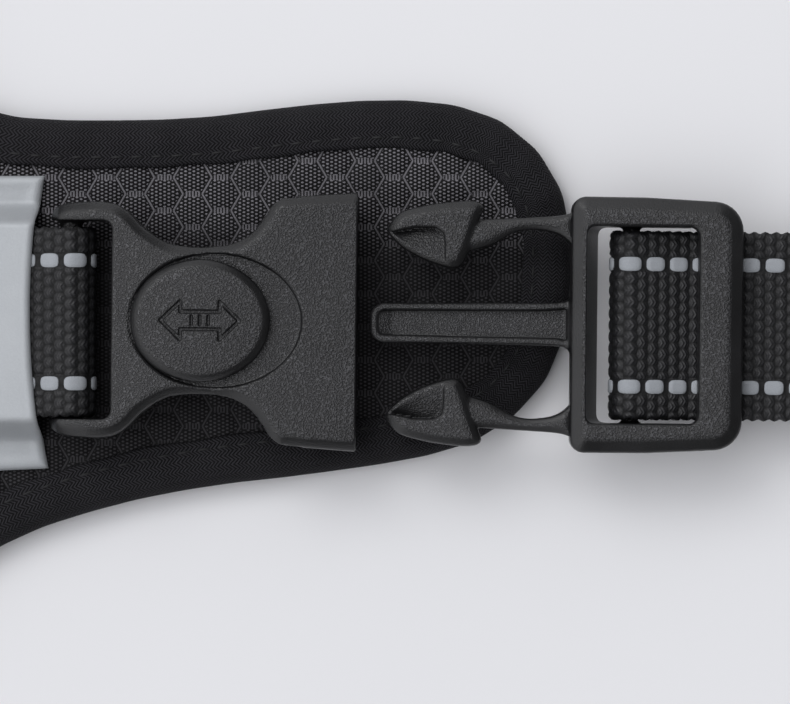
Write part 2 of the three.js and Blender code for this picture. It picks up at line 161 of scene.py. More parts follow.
def box_distance(
    x: Array, y: Array, z: Array, low: Sequence[Array | float], high: Sequence[Array | float], r: float = 0.0
) -> Array:
    """Signed distance to a box with rounded edges, from its low and high corners.

    Args:
        x: Places along the first axis.
        y: Places along the second.
        z: Places along the third.
        low: The box's lowest corner.
        high: Its highest corner.
        r: Radius of its edges.

    Returns:
        The distance at each place.
    """
    parts = [
        np.abs(v - (a + b) / 2) - (b - a) / 2 + r
        for v, a, b in zip((x, y, z), low, high)
    ]
    outside = np.sqrt(sum(np.maximum(p, 0.0) ** 2 for p in parts))
    return outside + np.minimum(np.maximum(np.maximum(parts[0], parts[1]), parts[2]), 0.0) - r


def ellipse_distance(x: Array, y: Array, a: float, b: float) -> Array:
    """Nearly the signed distance to an ellipse with the half axes a and b.

    Args:
        x: Places along the first axis.
        y: Places along the second.
        a: Half axis along the first.
        b: Half axis along the second.

    Returns:
        Its nearly true distance.
    """
    k0 = np.sqrt((x / a) ** 2 + (y / b) ** 2)
    k1 = np.sqrt((x / a**2) ** 2 + (y / b**2) ** 2)
    return np.where(k1 > 1e-9, k0 * (k0 - 1.0) / np.maximum(k1, 1e-9), -min(a, b))


def smooth_outline(points: Points, steps: int) -> list[tuple[float, float]]:
    """A closed centripetal-like curve through the points.

    Args:
        points: The points to pass through.
        steps: How many places to give on each stretch.

    Returns:
        Points along the curve.
    """
    p = np.array(points, float)
    out = []
    for i in range(len(p)):
        a, b, c, d = p[i - 1], p[i], p[(i + 1) % len(p)], p[(i + 2) % len(p)]
        for s in np.arange(steps) / steps:
            q = 0.5 * (
                2 * b + (c - a) * s + (2 * a - 5 * b + 4 * c - d) * s**2 + (3 * b - a - 3 * c + d) * s**3
            )
            out.append((float(q[0]), float(q[1])))
    return out


def arc(
    centre: tuple[float, float], r: float, start: float, end: float, steps: int = 12
) -> list[tuple[float, float]]:
    """Points on an arc, with its angles in degrees."""
    turns = np.radians(np.linspace(start, end, steps + 1))
    return [(centre[0] + r * math.cos(t), centre[1] + r * math.sin(t)) for t in turns]


# ---- meshes -----------------------------------------------------------------------------------------


def link_mesh(name: str, verts: Array, faces: Sequence, smooth: bool = True) -> bpy.types.Object:
    """Makes a mesh object from vertices in metres and links it.

    Args:
        name: Name of the object and its mesh.
        verts: One row for each vertex.
        faces: Vertex numbers of each face.
        smooth: Whether the faces are shaded smooth.

    Returns:
        The new object.
    """
    mesh = bpy.data.meshes.new(name)
    rows = faces.tolist() if isinstance(faces, Array) else list(faces)
    mesh.from_pydata(np.asarray(verts, float).tolist(), [], rows)
    mesh.polygons.foreach_set("use_smooth", [smooth] * len(mesh.polygons))
    mesh.update()
    obj = bpy.data.objects.new(name, mesh)
    bpy.context.scene.collection.objects.link(obj)
    return obj


def surface_nets(values: Array, origin: Array, step: Array) -> tuple[Array, Array]:
    """The zero surface of a sampled field as quads.

    Args:
        values: The field at the grid's points, negative inside.
        origin: Place of the first grid point.
        step: Grid spacing along each axis.

    Returns:
        Vertices and quads, facing out.
    """
    inside = values < 0
    cells = tuple(n - 1 for n in values.shape)
    total, count = np.zeros(cells + (3,)), np.zeros(cells)
    for axis in range(3):
        others = [k for k in range(3) if k != axis]
        for i in (0, 1):
            for j in (0, 1):
                a = [slice(None, -1)] * 3
                a[others[0]] = slice(i, cells[others[0]] + i)
                a[others[1]] = slice(j, cells[others[1]] + j)
                b = list(a)
                b[axis] = slice(1, None)
                fa, fb = values[tuple(a)], values[tuple(b)]
                hit = inside[tuple(a)] != inside[tuple(b)]
                t = np.where(hit, fa / np.where(hit, fa - fb, 1.0), 0.0)
                total[..., axis] += t
                total[..., others[0]] += hit * i
                total[..., others[1]] += hit * j
                count += hit
    used = count > 0
    number = np.full(cells, -1)
    number[used] = np.arange(int(used.sum()))
    places = np.argwhere(used) + total[used] / count[used][:, None]
    quads = []
    for axis in range(3):
        u, v = (axis + 1) % 3, (axis + 2) % 3
        low = [slice(1, -1)] * 3
        low[axis] = slice(None, -1)
        high = [slice(1, -1)] * 3
        high[axis] = slice(1, None)
        a_in, b_in = inside[tuple(low)], inside[tuple(high)]
        for side in (True, False):
            at = np.argwhere((a_in != b_in) & (a_in == side))
            at = at + np.array([0 if k == axis else 1 for k in range(3)])
            ring = []
            for du, dv in ((-1, -1), (0, -1), (0, 0), (-1, 0)):
                c = at.copy()
                c[:, u] += du
                c[:, v] += dv
                ring.append(number[c[:, 0], c[:, 1], c[:, 2]])
            ring = np.stack(ring, 1)
            quads.append(ring if side else ring[:, ::-1])
    return places * step + origin, np.concatenate(quads)


@dataclass(frozen=True)
class Grid:
    """A box of sample points in millimetres.

    Args:
        low: Lowest corner.
        high: Highest corner.
        step: Spacing along each axis.
    """

    low: tuple[float, float, float]
    high: tuple[float, float, float]
    step: tuple[float, float, float]

    def axes(self) -> list[Array]:
        """The places along each axis, shaped so that they spread over the grid."""
        lines = [np.arange(a, b + s, s) for a, b, s in zip(self.low, self.high, self.step)]
        return [line.reshape([-1 if k == i else 1 for k in range(3)]) for i, line in enumerate(lines)]

    def mesh(self, name: str, field_of: Callable[[Array, Array, Array], Array]) -> bpy.types.Object:
        """Builds the object whose surface is where the field is zero.

        Args:
            name: Name of the object.
            field_of: Gives the field from the three coordinates.

        Returns:
            The object, in metres, in its own coordinates.
        """
        x, y, z = self.axes()
        shape = np.broadcast_shapes(x.shape, y.shape, z.shape)
        values = np.broadcast_to(field_of(x, y, z), shape)
        verts, quads = surface_nets(values, np.array(self.low), np.array(self.step))
        return link_mesh(name, verts * MM, quads)


# ---- finishes ---------------------------------------------------------------------------------------


class Sheet:
    """A material being drawn up: makes nodes and joins them in short calls."""

    def __init__(self, name: str) -> None:
        """Starts an empty node material.

        Args:
            name: Name of the material.
        """
        self.material = bpy.data.materials.new(name)
        self.material.use_nodes = True
        self.tree = self.material.node_tree
        self.shader = self.tree.nodes["Principled BSDF"]

    def node(self, kind: str, **settings: object) -> bpy.types.Node:
        """Adds a node of the given type with its settings.

        Args:
            kind: Type of the node.
            settings: Values of its own properties.

        Returns:
            The node.
        """
        made = self.tree.nodes.new(kind)
        for key, value in settings.items():
            setattr(made, key, value)
        return made

    def put(self, value: object, socket: bpy.types.NodeSocket) -> None:
        """Sets a socket to a constant, or links another socket to it.

        Args:
            value: A constant or an output socket.
            socket: The input to fill.
        """
        if isinstance(value, bpy.types.NodeSocket):
            self.tree.links.new(value, socket)
        else:
            socket.default_value = value

    def math(self, operation: str, *values: object) -> bpy.types.NodeSocket:
        """One math node.

        Args:
            operation: Name of the operation.
            values: Its inputs, numbers or sockets.

        Returns:
            The output socket.
        """
        made = self.node("ShaderNodeMath", operation=operation)
        for value, socket in zip(values, made.inputs):
            self.put(value, socket)
        return made.outputs[0]

    def fold(self, value: object, period: float, shift: float = 0.0) -> bpy.types.NodeSocket:
        """The value less its nearest multiple of the period, from minus to plus half a period."""
        moved = self.math("ADD", value, shift + period / 2)
        return self.math("SUBTRACT", self.math("FLOORED_MODULO", moved, period), period / 2)

    def ramp(
        self, value: object, low: float, high: float, start: float = 0.0, end: float = 1.0
    ) -> bpy.types.NodeSocket:
        """A smooth step of the value from low to high, given as start to end.

        Args:
            value: The value to follow.
            low: Where the step begins.
            high: Where it ends.
            start: Result at low.
            end: Result at high.

        Returns:
            The output socket.
        """
        made = self.node("ShaderNodeMapRange", interpolation_type="SMOOTHSTEP")
        for value_in, socket in zip((value, low, high, start, end), made.inputs):
            self.put(value_in, socket)
        return made.outputs[0]

    def noise(self, where: bpy.types.NodeSocket, size_mm: float, detail: float = 2.0) -> bpy.types.NodeSocket:
        """Noise whose grains are about size_mm across, from 0 to 1.

        Args:
            where: Place to sample at.
            size_mm: Size of a grain.
            detail: How many finer layers it has.

        Returns:
            The output socket.
        """
        made = self.node("ShaderNodeTexNoise")
        self.put(where, made.inputs["Vector"])
        made.inputs["Scale"].default_value = 1.0 / (size_mm * MM)
        made.inputs["Detail"].default_value = detail
        return made.outputs["Fac"]

    def colour(self, amount: object, a: Sequence[float], b: Sequence[float]) -> bpy.types.NodeSocket:
        """A colour between a and b.

        Args:
            amount: How far from a to b.
            a: Colour at 0.
            b: Colour at 1.

        Returns:
            The output socket.
        """
        made = self.node("ShaderNodeMix", data_type="RGBA")
        self.put(amount, made.inputs[0])
        for value, socket in ((a, made.inputs[6]), (b, made.inputs[7])):
            self.put(value if isinstance(value, bpy.types.NodeSocket) else (*value, 1.0), socket)
        return made.outputs[2]

    def place(self) -> bpy.types.NodeSocket:
        """The place in the object's own coordinates, in metres."""
        return self.node("ShaderNodeTexCoord").outputs["Object"]

    def split(self, vector: bpy.types.NodeSocket, scale: float = 1.0) -> list[bpy.types.NodeSocket]:
        """The three parts of a vector, each times scale.

        Args:
            vector: The vector.
            scale: What to multiply by.

        Returns:
            Three sockets.
        """
        parts = self.node("ShaderNodeSeparateXYZ")
        self.put(vector, parts.inputs[0])
        if scale == 1.0:
            return list(parts.outputs)
        return [self.math("MULTIPLY", out, scale) for out in parts.outputs]

    def tape(self) -> list[bpy.types.NodeSocket]:
        """How far along and across a tape the place is, in millimetres."""
        made = self.node("ShaderNodeUVMap", uv_map="tape")
        return self.split(made.outputs[0])[:2]

    def bump(
        self, height: object, depth_mm: float, strength: float = 1.0, after: object = None
    ) -> bpy.types.NodeSocket:
        """A bump whose full height is depth_mm.

        Args:
            height: The height, from 0 to 1.
            depth_mm: What a height of 1 stands for.
            strength: How much of it shows.
            after: A normal to start from.

        Returns:
            The new normal.
        """
        made = self.node("ShaderNodeBump")
        made.inputs["Strength"].default_value = strength
        made.inputs["Distance"].default_value = depth_mm * MM
        self.put(height, made.inputs["Height"])
        if after is not None:
            self.put(after, made.inputs["Normal"])
        return made.outputs[0]

    def finish(
        self, colour: object, roughness: object, normal: object = None, **constants: float
    ) -> bpy.types.Material:
        """Fills in the shader.

        Args:
            colour: Base colour.
            roughness: Roughness.
            normal: Normal, where there is a bump.
            constants: Other sockets' values, with spaces in their names as underscores.

        Returns:
            The finished material.
        """
        ins = self.shader.inputs
        self.put(colour if isinstance(colour, bpy.types.NodeSocket) else (*colour, 1.0), ins["Base Color"])
        self.put(roughness, ins["Roughness"])
        if normal is not None:
            self.put(normal, ins["Normal"])
        for key, value in constants.items():
            ins[key.replace("_", " ")].default_value = value
        return self.material


@dataclass(frozen=True)
class MouldedPlastic:
    """Black acetal with the fine leathery grain of its mould, and painted glints on its flats.

    Args:
        name: Name of the material.
        grain_mm: Size of the grain.
        depth_mm: Depth of the grain.
        roughness: Roughness of the flats.
    """

    name: str = "moulded_plastic"
    grain_mm: float = 0.24
    depth_mm: float = 0.1
    roughness: float = 0.34
    slot: str = "buckle_plastic"

    def material(self) -> bpy.types.Material:
        """Draws up the material.

        Returns:
            The finished material.
        """
        s = Sheet(self.name)
        where = s.place()
        pits = s.ramp(s.noise(where, self.grain_mm, 2.0), 0.36, 0.66)
        broad = s.noise(where, 6.0, 2.0)
        facing = s.split(s.node("ShaderNodeTexCoord").outputs["Normal"])[2]
        flats = s.ramp(s.math("ABSOLUTE", facing), 0.86, 0.98, 0.15, 1.0)
        pits = s.math("MULTIPLY", pits, flats)
        # Painted glints: the grain's sparse high pits lighten the colour, mostly on faces that look up or
        # down.
        painted_glint = s.math("POWER", pits, 3.0)
        tone = s.math("ADD", s.math("MULTIPLY", painted_glint, 0.8), s.math("MULTIPLY", broad, 0.2))
        colour = s.colour(tone, (0.0004, 0.0004, 0.0005), (0.05, 0.05, 0.054))
        rough = s.math("ADD", self.roughness - 0.06, s.math("MULTIPLY", broad, 0.12))
        return s.finish(colour, rough, s.bump(pits, self.depth_mm, 0.8), Specular_IOR_Level=0.5)


@dataclass(frozen=True)
class Weave:
    """Coarse webbing with two rows of reflective stitches.

    Args:
        name: Name of the material.
        column: Pitch of the bumps along the strap.
        row: Pitch of the bumps across the strap.
        stitch: Pitch of the reflective stitches.
        stitch_half: Half a stitch, along and across.
        stitch_row: How far each stitch row lies from the middle.
        strand: Pitch of the strands in each bump.
    """

    name: str = "webbing_weave"
    column: float = 1.45
    row: float = 1.54
    stitch: float = 3.25
    stitch_half: tuple[float, float] = (1.27, 0.93)
    stitch_row: float = 8.15
    strand: float = 0.48
    slot: str = "webbing"

    def height(self, along: Array, across: Array) -> Array:
        """How proud the weave stands, from 0 to 1, stitches included.

        Args:
            along: Places along the strap.
            across: Places across it, from its middle.

        Returns:
            Height at each place, from 0 to 1.
        """
        index = np.floor(along / self.column)
        a = along / self.column - index - 0.5
        b = across / self.row + 0.5 * (index % 2)
        b = b - np.floor(b) - 0.5
        bump = np.clip(1.15 - 2.6 * a * a - 3.0 * b * b, 0.0, 1.0)
        s = along - np.round(along / self.stitch) * self.stitch
        t = np.abs(np.abs(across) - self.stitch_row)
        oval = (np.abs(s) / self.stitch_half[0]) ** 3.5 + (t / self.stitch_half[1]) ** 3.5
        stitch = np.clip(1.7 * (1.0 - oval), 0.0, 1.0) ** 0.5
        lane = t < self.stitch_half[1] + 0.15
        return np.where(lane, np.maximum(0.15 * bump, 1.05 * stitch), bump)

    def material(self) -> bpy.types.Material:
        """Draws up the material.

        Returns:
            The finished material.
        """
        s = Sheet(self.name)
        u, v = s.tape()
        cell = s.math("DIVIDE", u, self.column)
        index = s.math("FLOOR", cell)
        a = s.math("SUBTRACT", s.math("SUBTRACT", cell, index), 0.5)
        half = s.math("MULTIPLY", s.math("FLOORED_MODULO", index, 2.0), 0.5)
        b = s.fold(s.math("ADD", s.math("DIVIDE", v, self.row), half), 1.0, -0.5)
        fall = s.math("ADD", s.math("MULTIPLY", s.math("MULTIPLY", a, a), 2.6),
                      s.math("MULTIPLY", s.math("MULTIPLY", b, b), 3.0))
        bump = s.ramp(s.math("SUBTRACT", 1.15, fall), 0.0, 1.1)
        stitch_a = s.math("DIVIDE", s.math("ABSOLUTE", s.fold(u, self.stitch)), self.stitch_half[0])
        lane = s.math("ABSOLUTE", s.math("SUBTRACT", s.math("ABSOLUTE", v), self.stitch_row))
        stitch_b = s.math("DIVIDE", lane, self.stitch_half[1])
        oval = s.math("ADD", s.math("POWER", stitch_a, 3.5), s.math("POWER", stitch_b, 3.5))
        stitch = s.ramp(oval, 1.15, 0.85)
        off_lane = s.ramp(lane, self.stitch_half[1] - 0.1, self.stitch_half[1] + 0.2)
        weave = s.math("MULTIPLY", bump, s.math("ADD", 0.25, s.math("MULTIPLY", off_lane, 0.75)))
        where = s.place()
        fibre = s.noise(where, 0.12, 2.0)
        skew = s.math("ADD", u, s.math("MULTIPLY", s.math("ABSOLUTE", b), 0.9))
        strand = s.math("ABSOLUTE", s.math("MULTIPLY", s.fold(skew, self.strand), 2.0 / self.strand))
        weave = s.math("MULTIPLY", weave, s.math("ADD", 0.6, s.math("MULTIPLY", strand, 0.4)))
        shade = s.math("MULTIPLY", weave, s.math("ADD", 0.3, s.math("MULTIPLY", fibre, 1.6)))
        dark = s.colour(shade, (0.0008, 0.0008, 0.001), (0.014, 0.014, 0.0155))
        silver = s.colour(fibre, (0.22, 0.235, 0.25), (0.32, 0.335, 0.36))
        colour = s.colour(stitch, dark, silver)
        height = s.math("MAXIMUM", weave, stitch)
        normal = s.bump(fibre, 0.05, 0.7, s.bump(height, 0.3, 0.55))
        rough = s.math("ADD", 0.36, s.math("MULTIPLY", s.math("SUBTRACT", 1.0, weave), 0.4))
        return s.finish(colour, rough, normal, Specular_IOR_Level=0.34)


@dataclass(frozen=True)
class PlainWeave:
    """Finer plain webbing for the handle, tabs and tapes, with stitch rows near its edges."""

    name: str = "plain_webbing"
    pitch: float = 1.1
    slot: str = "webbing"

    def material(self) -> bpy.types.Material:
        """Draws up the material.

        Returns:
            The finished material.
        """
        s = Sheet(self.name)
        u, v = s.tape()
        rib = s.math("ABSOLUTE", s.math("MULTIPLY", s.fold(v, self.pitch), 2.0 / self.pitch))
        skew = s.math("ADD", u, s.math("MULTIPLY", s.math("ABSOLUTE", s.fold(v, 2 * self.pitch)), 1.0))
        pick = s.math("ABSOLUTE", s.math("MULTIPLY", s.fold(skew, 0.75), 2.0 / 0.75))
        height = s.math("MULTIPLY", s.ramp(rib, 1.0, 0.35), s.ramp(pick, 1.0, 0.3))
        fibre = s.noise(s.place(), 0.15, 2.0)
        shade = s.math("MULTIPLY", height, s.math("ADD", 0.4, fibre))
        colour = s.colour(shade, (0.002, 0.002, 0.0022), (0.024, 0.024, 0.026))
        normal = s.bump(fibre, 0.04, 0.6, s.bump(height, 0.2, 0.8))
        return s.finish(colour, 0.62, normal, Specular_IOR_Level=0.2)


@dataclass(frozen=True)
class HexJacquard:
    """Face fabric woven in flat-topped hexagons of light dots, with satin borders.

    Args:
        name: Name of the material.
        radius: From the middle of a hexagon to its corner.
        origin: The middle of one hexagon.
        dot: Pitch of the dots along and across.
        shade_bounds: Where painted shade darkens the dots: below the first two heights, and outward of the
            last two.
    """

    name: str = "hex_jacquard"
    radius: float = 2.57
    origin: tuple[float, float] = (96.5, 17.2)
    dot: tuple[float, float] = (0.56, 0.5)
    shade_bounds: tuple[float, float, float, float] = (7.0, 16.0, 56.0, 74.0)
    slot: str = "face_fabric"

    def border(self, x: Array, y: Array) -> Array:
        """Distance from the nearest border of a hexagon, in millimetres.

        Args:
            x: Places along X.
            y: Places along Y.

        Returns:
            The distance at each place.
        """
        wide, tall = 3.0 * self.radius, math.sqrt(3.0) * self.radius
        best = np.zeros(np.broadcast(x, y).shape)
        for shift in (0.0, 0.5):
            gx = (x - self.origin[0]) / wide - shift
            gy = (y - self.origin[1]) / tall - shift
            gx = np.abs(gx - np.round(gx)) * wide
            gy = np.abs(gy - np.round(gy)) * tall
            reach = np.maximum(gy, gx * math.sqrt(3.0) / 2 + gy / 2)
            best = np.maximum(best, tall / 2 - reach)
        return best

    def painted_shade(self, s: Sheet, x: object, y: object) -> bpy.types.NodeSocket:
        """How bright the dots stay under painted shade, which darkens them low on the wings near the buckles.

        Args:
            s: The material being drawn up.
            x: Place along X.
            y: Place along Y.

        Returns:
            The output socket.
        """
        free = s.ramp(y, self.shade_bounds[0], self.shade_bounds[1])
        inward = s.ramp(s.math("ABSOLUTE", x), self.shade_bounds[3], self.shade_bounds[2])
        left = s.math("MAXIMUM", free, inward)
        return s.math("ADD", 0.2, s.math("MULTIPLY", left, 0.8))

    def material(self) -> bpy.types.Material:
        """Draws up the material.

        Returns:
            The finished material.
        """
        s = Sheet(self.name)
        where = s.place()
        x, y, _ = s.split(where, 1.0 / MM)
        wide, tall = 3.0 * self.radius, math.sqrt(3.0) * self.radius
        inner, level = [], []
        for shift in (0.0, 0.5):
            gx = s.math("ABSOLUTE", s.fold(x, wide, -self.origin[0] - shift * wide))
            gy = s.math("ABSOLUTE", s.fold(y, tall, -self.origin[1] - shift * tall))
            slant = s.math("ADD", s.math("MULTIPLY", gx, math.sqrt(3.0) / 2), s.math("MULTIPLY", gy, 0.5))
            inner.append(s.math("SUBTRACT", tall / 2, s.math("MAXIMUM", gy, slant)))
            level.append(s.math("SUBTRACT", gy, slant))
        edge = s.math("MAXIMUM", *inner)
        first = s.math("GREATER_THAN", inner[0], inner[1])
        flat = s.math("ADD", s.math("MULTIPLY", first, level[0]),
                      s.math("MULTIPLY", s.math("SUBTRACT", 1.0, first), level[1]))
        column = s.math("DIVIDE", x, self.dot[0])
        odd = s.math("MULTIPLY", s.math("FLOORED_MODULO", s.math("FLOOR", column), 2.0), self.dot[1] / 2)
        dx = s.fold(x, self.dot[0], -self.dot[0] / 2)
        dy = s.fold(s.math("ADD", y, odd), self.dot[1])
        dx = s.math("DIVIDE", dx, self.dot[0] * 0.36)
        dy = s.math("DIVIDE", dy, self.dot[1] * 0.27)
        dot = s.ramp(s.math("ADD", s.math("MULTIPLY", dx, dx), s.math("MULTIPLY", dy, dy)), 1.25, 0.5)
        inside = s.ramp(edge, 0.2, 0.34)
        dots = s.math("MULTIPLY", dot, inside)
        satin_run = s.math("ABSOLUTE", s.fold(x, 0.42))
        satin = s.math("MULTIPLY", s.ramp(satin_run, 0.17, 0.07),
                       s.math("MULTIPLY", s.ramp(edge, 0.46, 0.36), s.ramp(flat, 0.0, 0.25)))
        line = s.math("MULTIPLY", s.ramp(edge, 0.17, 0.06), s.ramp(flat, 0.1, -0.05))
        light = s.math("MAXIMUM", dots, s.math("MAXIMUM", s.math("MULTIPLY", satin, 0.8),
                                                s.math("MULTIPLY", line, 0.75)))
        fade = s.math("ADD", 0.6, s.math("MULTIPLY", s.noise(where, 9.0, 2.0), 0.8))
        # Painted shade: the dots are darkened below a height and outward along X, where the buckles lie.
        light = s.math("MULTIPLY", light, s.math("MULTIPLY", fade, self.painted_shade(s, x, y)))
        colour = s.colour(light, (0.004, 0.0038, 0.0043), (0.155, 0.15, 0.162))
        puff = s.ramp(edge, 0.0, 1.4)
        normal = s.bump(light, 0.08, 0.6, s.bump(puff, 0.3, 0.5))
        return s.finish(colour, 0.7, normal, Specular_IOR_Level=0.12)


@dataclass(frozen=True)
class HerringboneTape:
    """Binding tape with a fine zigzag rib."""

    name: str = "binding_herringbone"
    rib: float = 0.52
    zigzag: float = 1.3
    slot: str = "binding_tape"

    def material(self) -> bpy.types.Material:
        """Draws up the material.

        Returns:
            The finished material.
        """
        s = Sheet(self.name)
        u, v = s.tape()
        where = s.place()
        wander = s.math("MULTIPLY", s.noise(where, 1.6, 1.0), 0.35)
        zig = s.math("ABSOLUTE", s.fold(v, self.zigzag))
        run = s.math("ADD", s.math("ADD", u, wander), s.math("MULTIPLY", zig, 1.1))
        rib = s.math("ABSOLUTE", s.math("MULTIPLY", s.fold(run, self.rib), 2.0 / self.rib))
        height = s.ramp(rib, 1.0, 0.15)
        fibre = s.noise(where, 0.16, 2.0)
        patch = s.noise(where, 11.0, 2.0)
        worn = s.math("ADD", s.math("MULTIPLY", fibre, 0.9), s.math("MULTIPLY", patch, 0.5))
        shade = s.math("MULTIPLY", height, worn)
        colour = s.colour(shade, (0.001, 0.001, 0.0012), (0.03, 0.029, 0.033))
        normal = s.bump(fibre, 0.05, 0.6, s.bump(height, 0.14, 0.8))
        return s.finish(colour, 0.72, normal, Specular_IOR_Level=0.12)


@dataclass(frozen=True)
class AirMesh:
    """Breathable mesh of the lining, with rows of small dark holes."""

    name: str = "air_mesh"
    pitch: float = 2.4
    slot: str = "mesh_lining"

    def material(self) -> bpy.types.Material:
        """Draws up the material.

        Returns:
            The finished material.
        """
        s = Sheet(self.name)
        where = s.place()
        x, y, _ = s.split(where, 1.0 / MM)
        tall = self.pitch * math.sqrt(3.0)
        best = []
        for shift in (0.0, 0.5):
            gx = s.fold(x, self.pitch, shift * self.pitch)
            gy = s.fold(y, tall, shift * tall)
            best.append(s.math("ADD", s.math("MULTIPLY", gx, gx), s.math("MULTIPLY", gy, gy)))
        hole = s.ramp(s.math("MINIMUM", *best), 0.75, 0.35)
        knit = s.noise(where, 0.35, 2.0)
        solid = s.math("SUBTRACT", 1.0, hole)
        shade = s.math("MULTIPLY", solid, s.math("ADD", 0.3, s.math("MULTIPLY", knit, 0.7)))
        colour = s.colour(shade, (0.003, 0.003, 0.0035), (0.034, 0.034, 0.037))
        normal = s.bump(knit, 0.1, 0.7, s.bump(solid, 0.5, 0.9))
        return s.finish(colour, 0.8, normal, Specular_IOR_Level=0.12)


@dataclass(frozen=True)
class ReflectiveCloth:
    """Silver-grey cloth coated with fine glass beads."""

    name: str = "reflective_cloth"
    slot: str = "reflective_cloth"

    def material(self) -> bpy.types.Material:
        """Draws up the material.

        Returns:
            The finished material.
        """
        s = Sheet(self.name)
        where = s.place()
        bead = s.noise(where, 0.28, 2.0)
        cloud = s.noise(where, 9.0, 3.0)
        tone = s.math("ADD", s.math("MULTIPLY", bead, 0.45), s.math("MULTIPLY", cloud, 0.55))
        colour = s.colour(tone, (0.27, 0.285, 0.3), (0.37, 0.385, 0.4))
        normal = s.bump(bead, 0.05, 0.55, s.bump(cloud, 0.5, 0.35))
        return s.finish(colour, 0.5, normal, Specular_IOR_Level=0.5, Metallic=0.15)


@dataclass(frozen=True)
class Thread:
    """Black polyester sewing thread."""

    name: str = "sewing_thread"

    def material(self) -> bpy.types.Material:
        """Draws up the material.

        Returns:
            The finished material.
        """
        s = Sheet(self.name)
        twist = s.noise(s.place(), 0.2, 1.0)
        colour = s.colour(twist, (0.003, 0.003, 0.0035), (0.014, 0.014, 0.015))
        return s.finish(colour, 0.6, s.bump(twist, 0.04, 0.6), Specular_IOR_Level=0.25)


@dataclass(frozen=True)
class PlatedSteel:
    """Nickel-plated wire, lightly scuffed."""

    name: str = "plated_steel"
    slot: str = "ring_steel"

    def material(self) -> bpy.types.Material:
        """Draws up the material.

        Returns:
            The finished material.
        """
        s = Sheet(self.name)
        where = s.place()
        scuff = s.noise(where, 1.4, 4.0)
        fine = s.noise(where, 0.25, 2.0)
        colour = s.colour(scuff, (0.52, 0.52, 0.53), (0.66, 0.66, 0.66))
        rough = s.math("ADD", 0.16, s.math("MULTIPLY", scuff, 0.22))
        return s.finish(colour, rough, s.bump(fine, 0.01, 0.5), Metallic=1.0)


# ---- placing ----------------------------------------------------------------------------------------


@dataclass(frozen=True)
class Seat:
    """A local frame with its origin in metres and its first axis along `along`.

    Args:
        origin: Place of the local origin, in metres.
        along: The local first axis; the third is up.
    """

    origin: Vector
    along: Vector

    def matrix(self) -> Matrix:
        """The local frame as a matrix.

        Returns:
            The matrix that takes local places to the model.
        """
        up = Vector((0.0, 0.0, 1.0))
        side = up.cross(self.along)
        turn = Matrix((self.along, side, up)).transposed().to_4x4()
        return Matrix.Translation(self.origin) @ turn

    def at(self, a: float, b: float, c: float) -> Vector:
        """A local place in millimetres, as a place in metres."""
        return self.matrix() @ Vector((a * MM, b * MM, c * MM))


def joint_named(frame: dict, name: str) -> dict:
    """The record's joint of that name."""
    return next(j for j in frame["joints"] if j["name"] == name)


def seat_of(
    frame: dict, hinge: str, slide: str, local: tuple[float, float, float], turn: float = 1.0
) -> Seat:
    """Works out a buckle half's frame from two joints.

    Args:
        frame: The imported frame.
        hinge: Joint whose place is known in the local frame.
        slide: Joint whose axis is the local first axis.
        local: The hinge's place in the local frame, in millimetres.
        turn: Minus one where the slide runs against the first axis.

    Returns:
        The local frame.
    """
    along = Vector(joint_named(frame, slide)["axis"]).normalized() * turn
    hinge_at = Vector(joint_named(frame, hinge)["pos_m"])
    free = Seat(Vector((0.0, 0.0, 0.0)), along)
    return Seat(hinge_at - free.at(*local), along)


def set_down(obj: bpy.types.Object, seat: Seat) -> bpy.types.Object:
    """Writes the seat's place into the mesh, so that the object sits at the origin.

    Args:
        obj: The piece, in the local frame.
        seat: The local frame.

    Returns:
        The same object.
    """
    obj.data.transform(seat.matrix())
    obj.data.update()
    return obj


def dress(obj: bpy.types.Object, material: bpy.types.Material, body: str) -> bpy.types.Object:
    """Gives a piece its material and the body that it rides on.

    Args:
        obj: The piece.
        material: Its finish.
        body: Body that it rides on.

    Returns:
        The same object.
    """
    obj.data.materials.clear()
    obj.data.materials.append(material)
    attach(obj, body)
    return obj


# ---- buckles ----------------------------------------------------------------------------------------


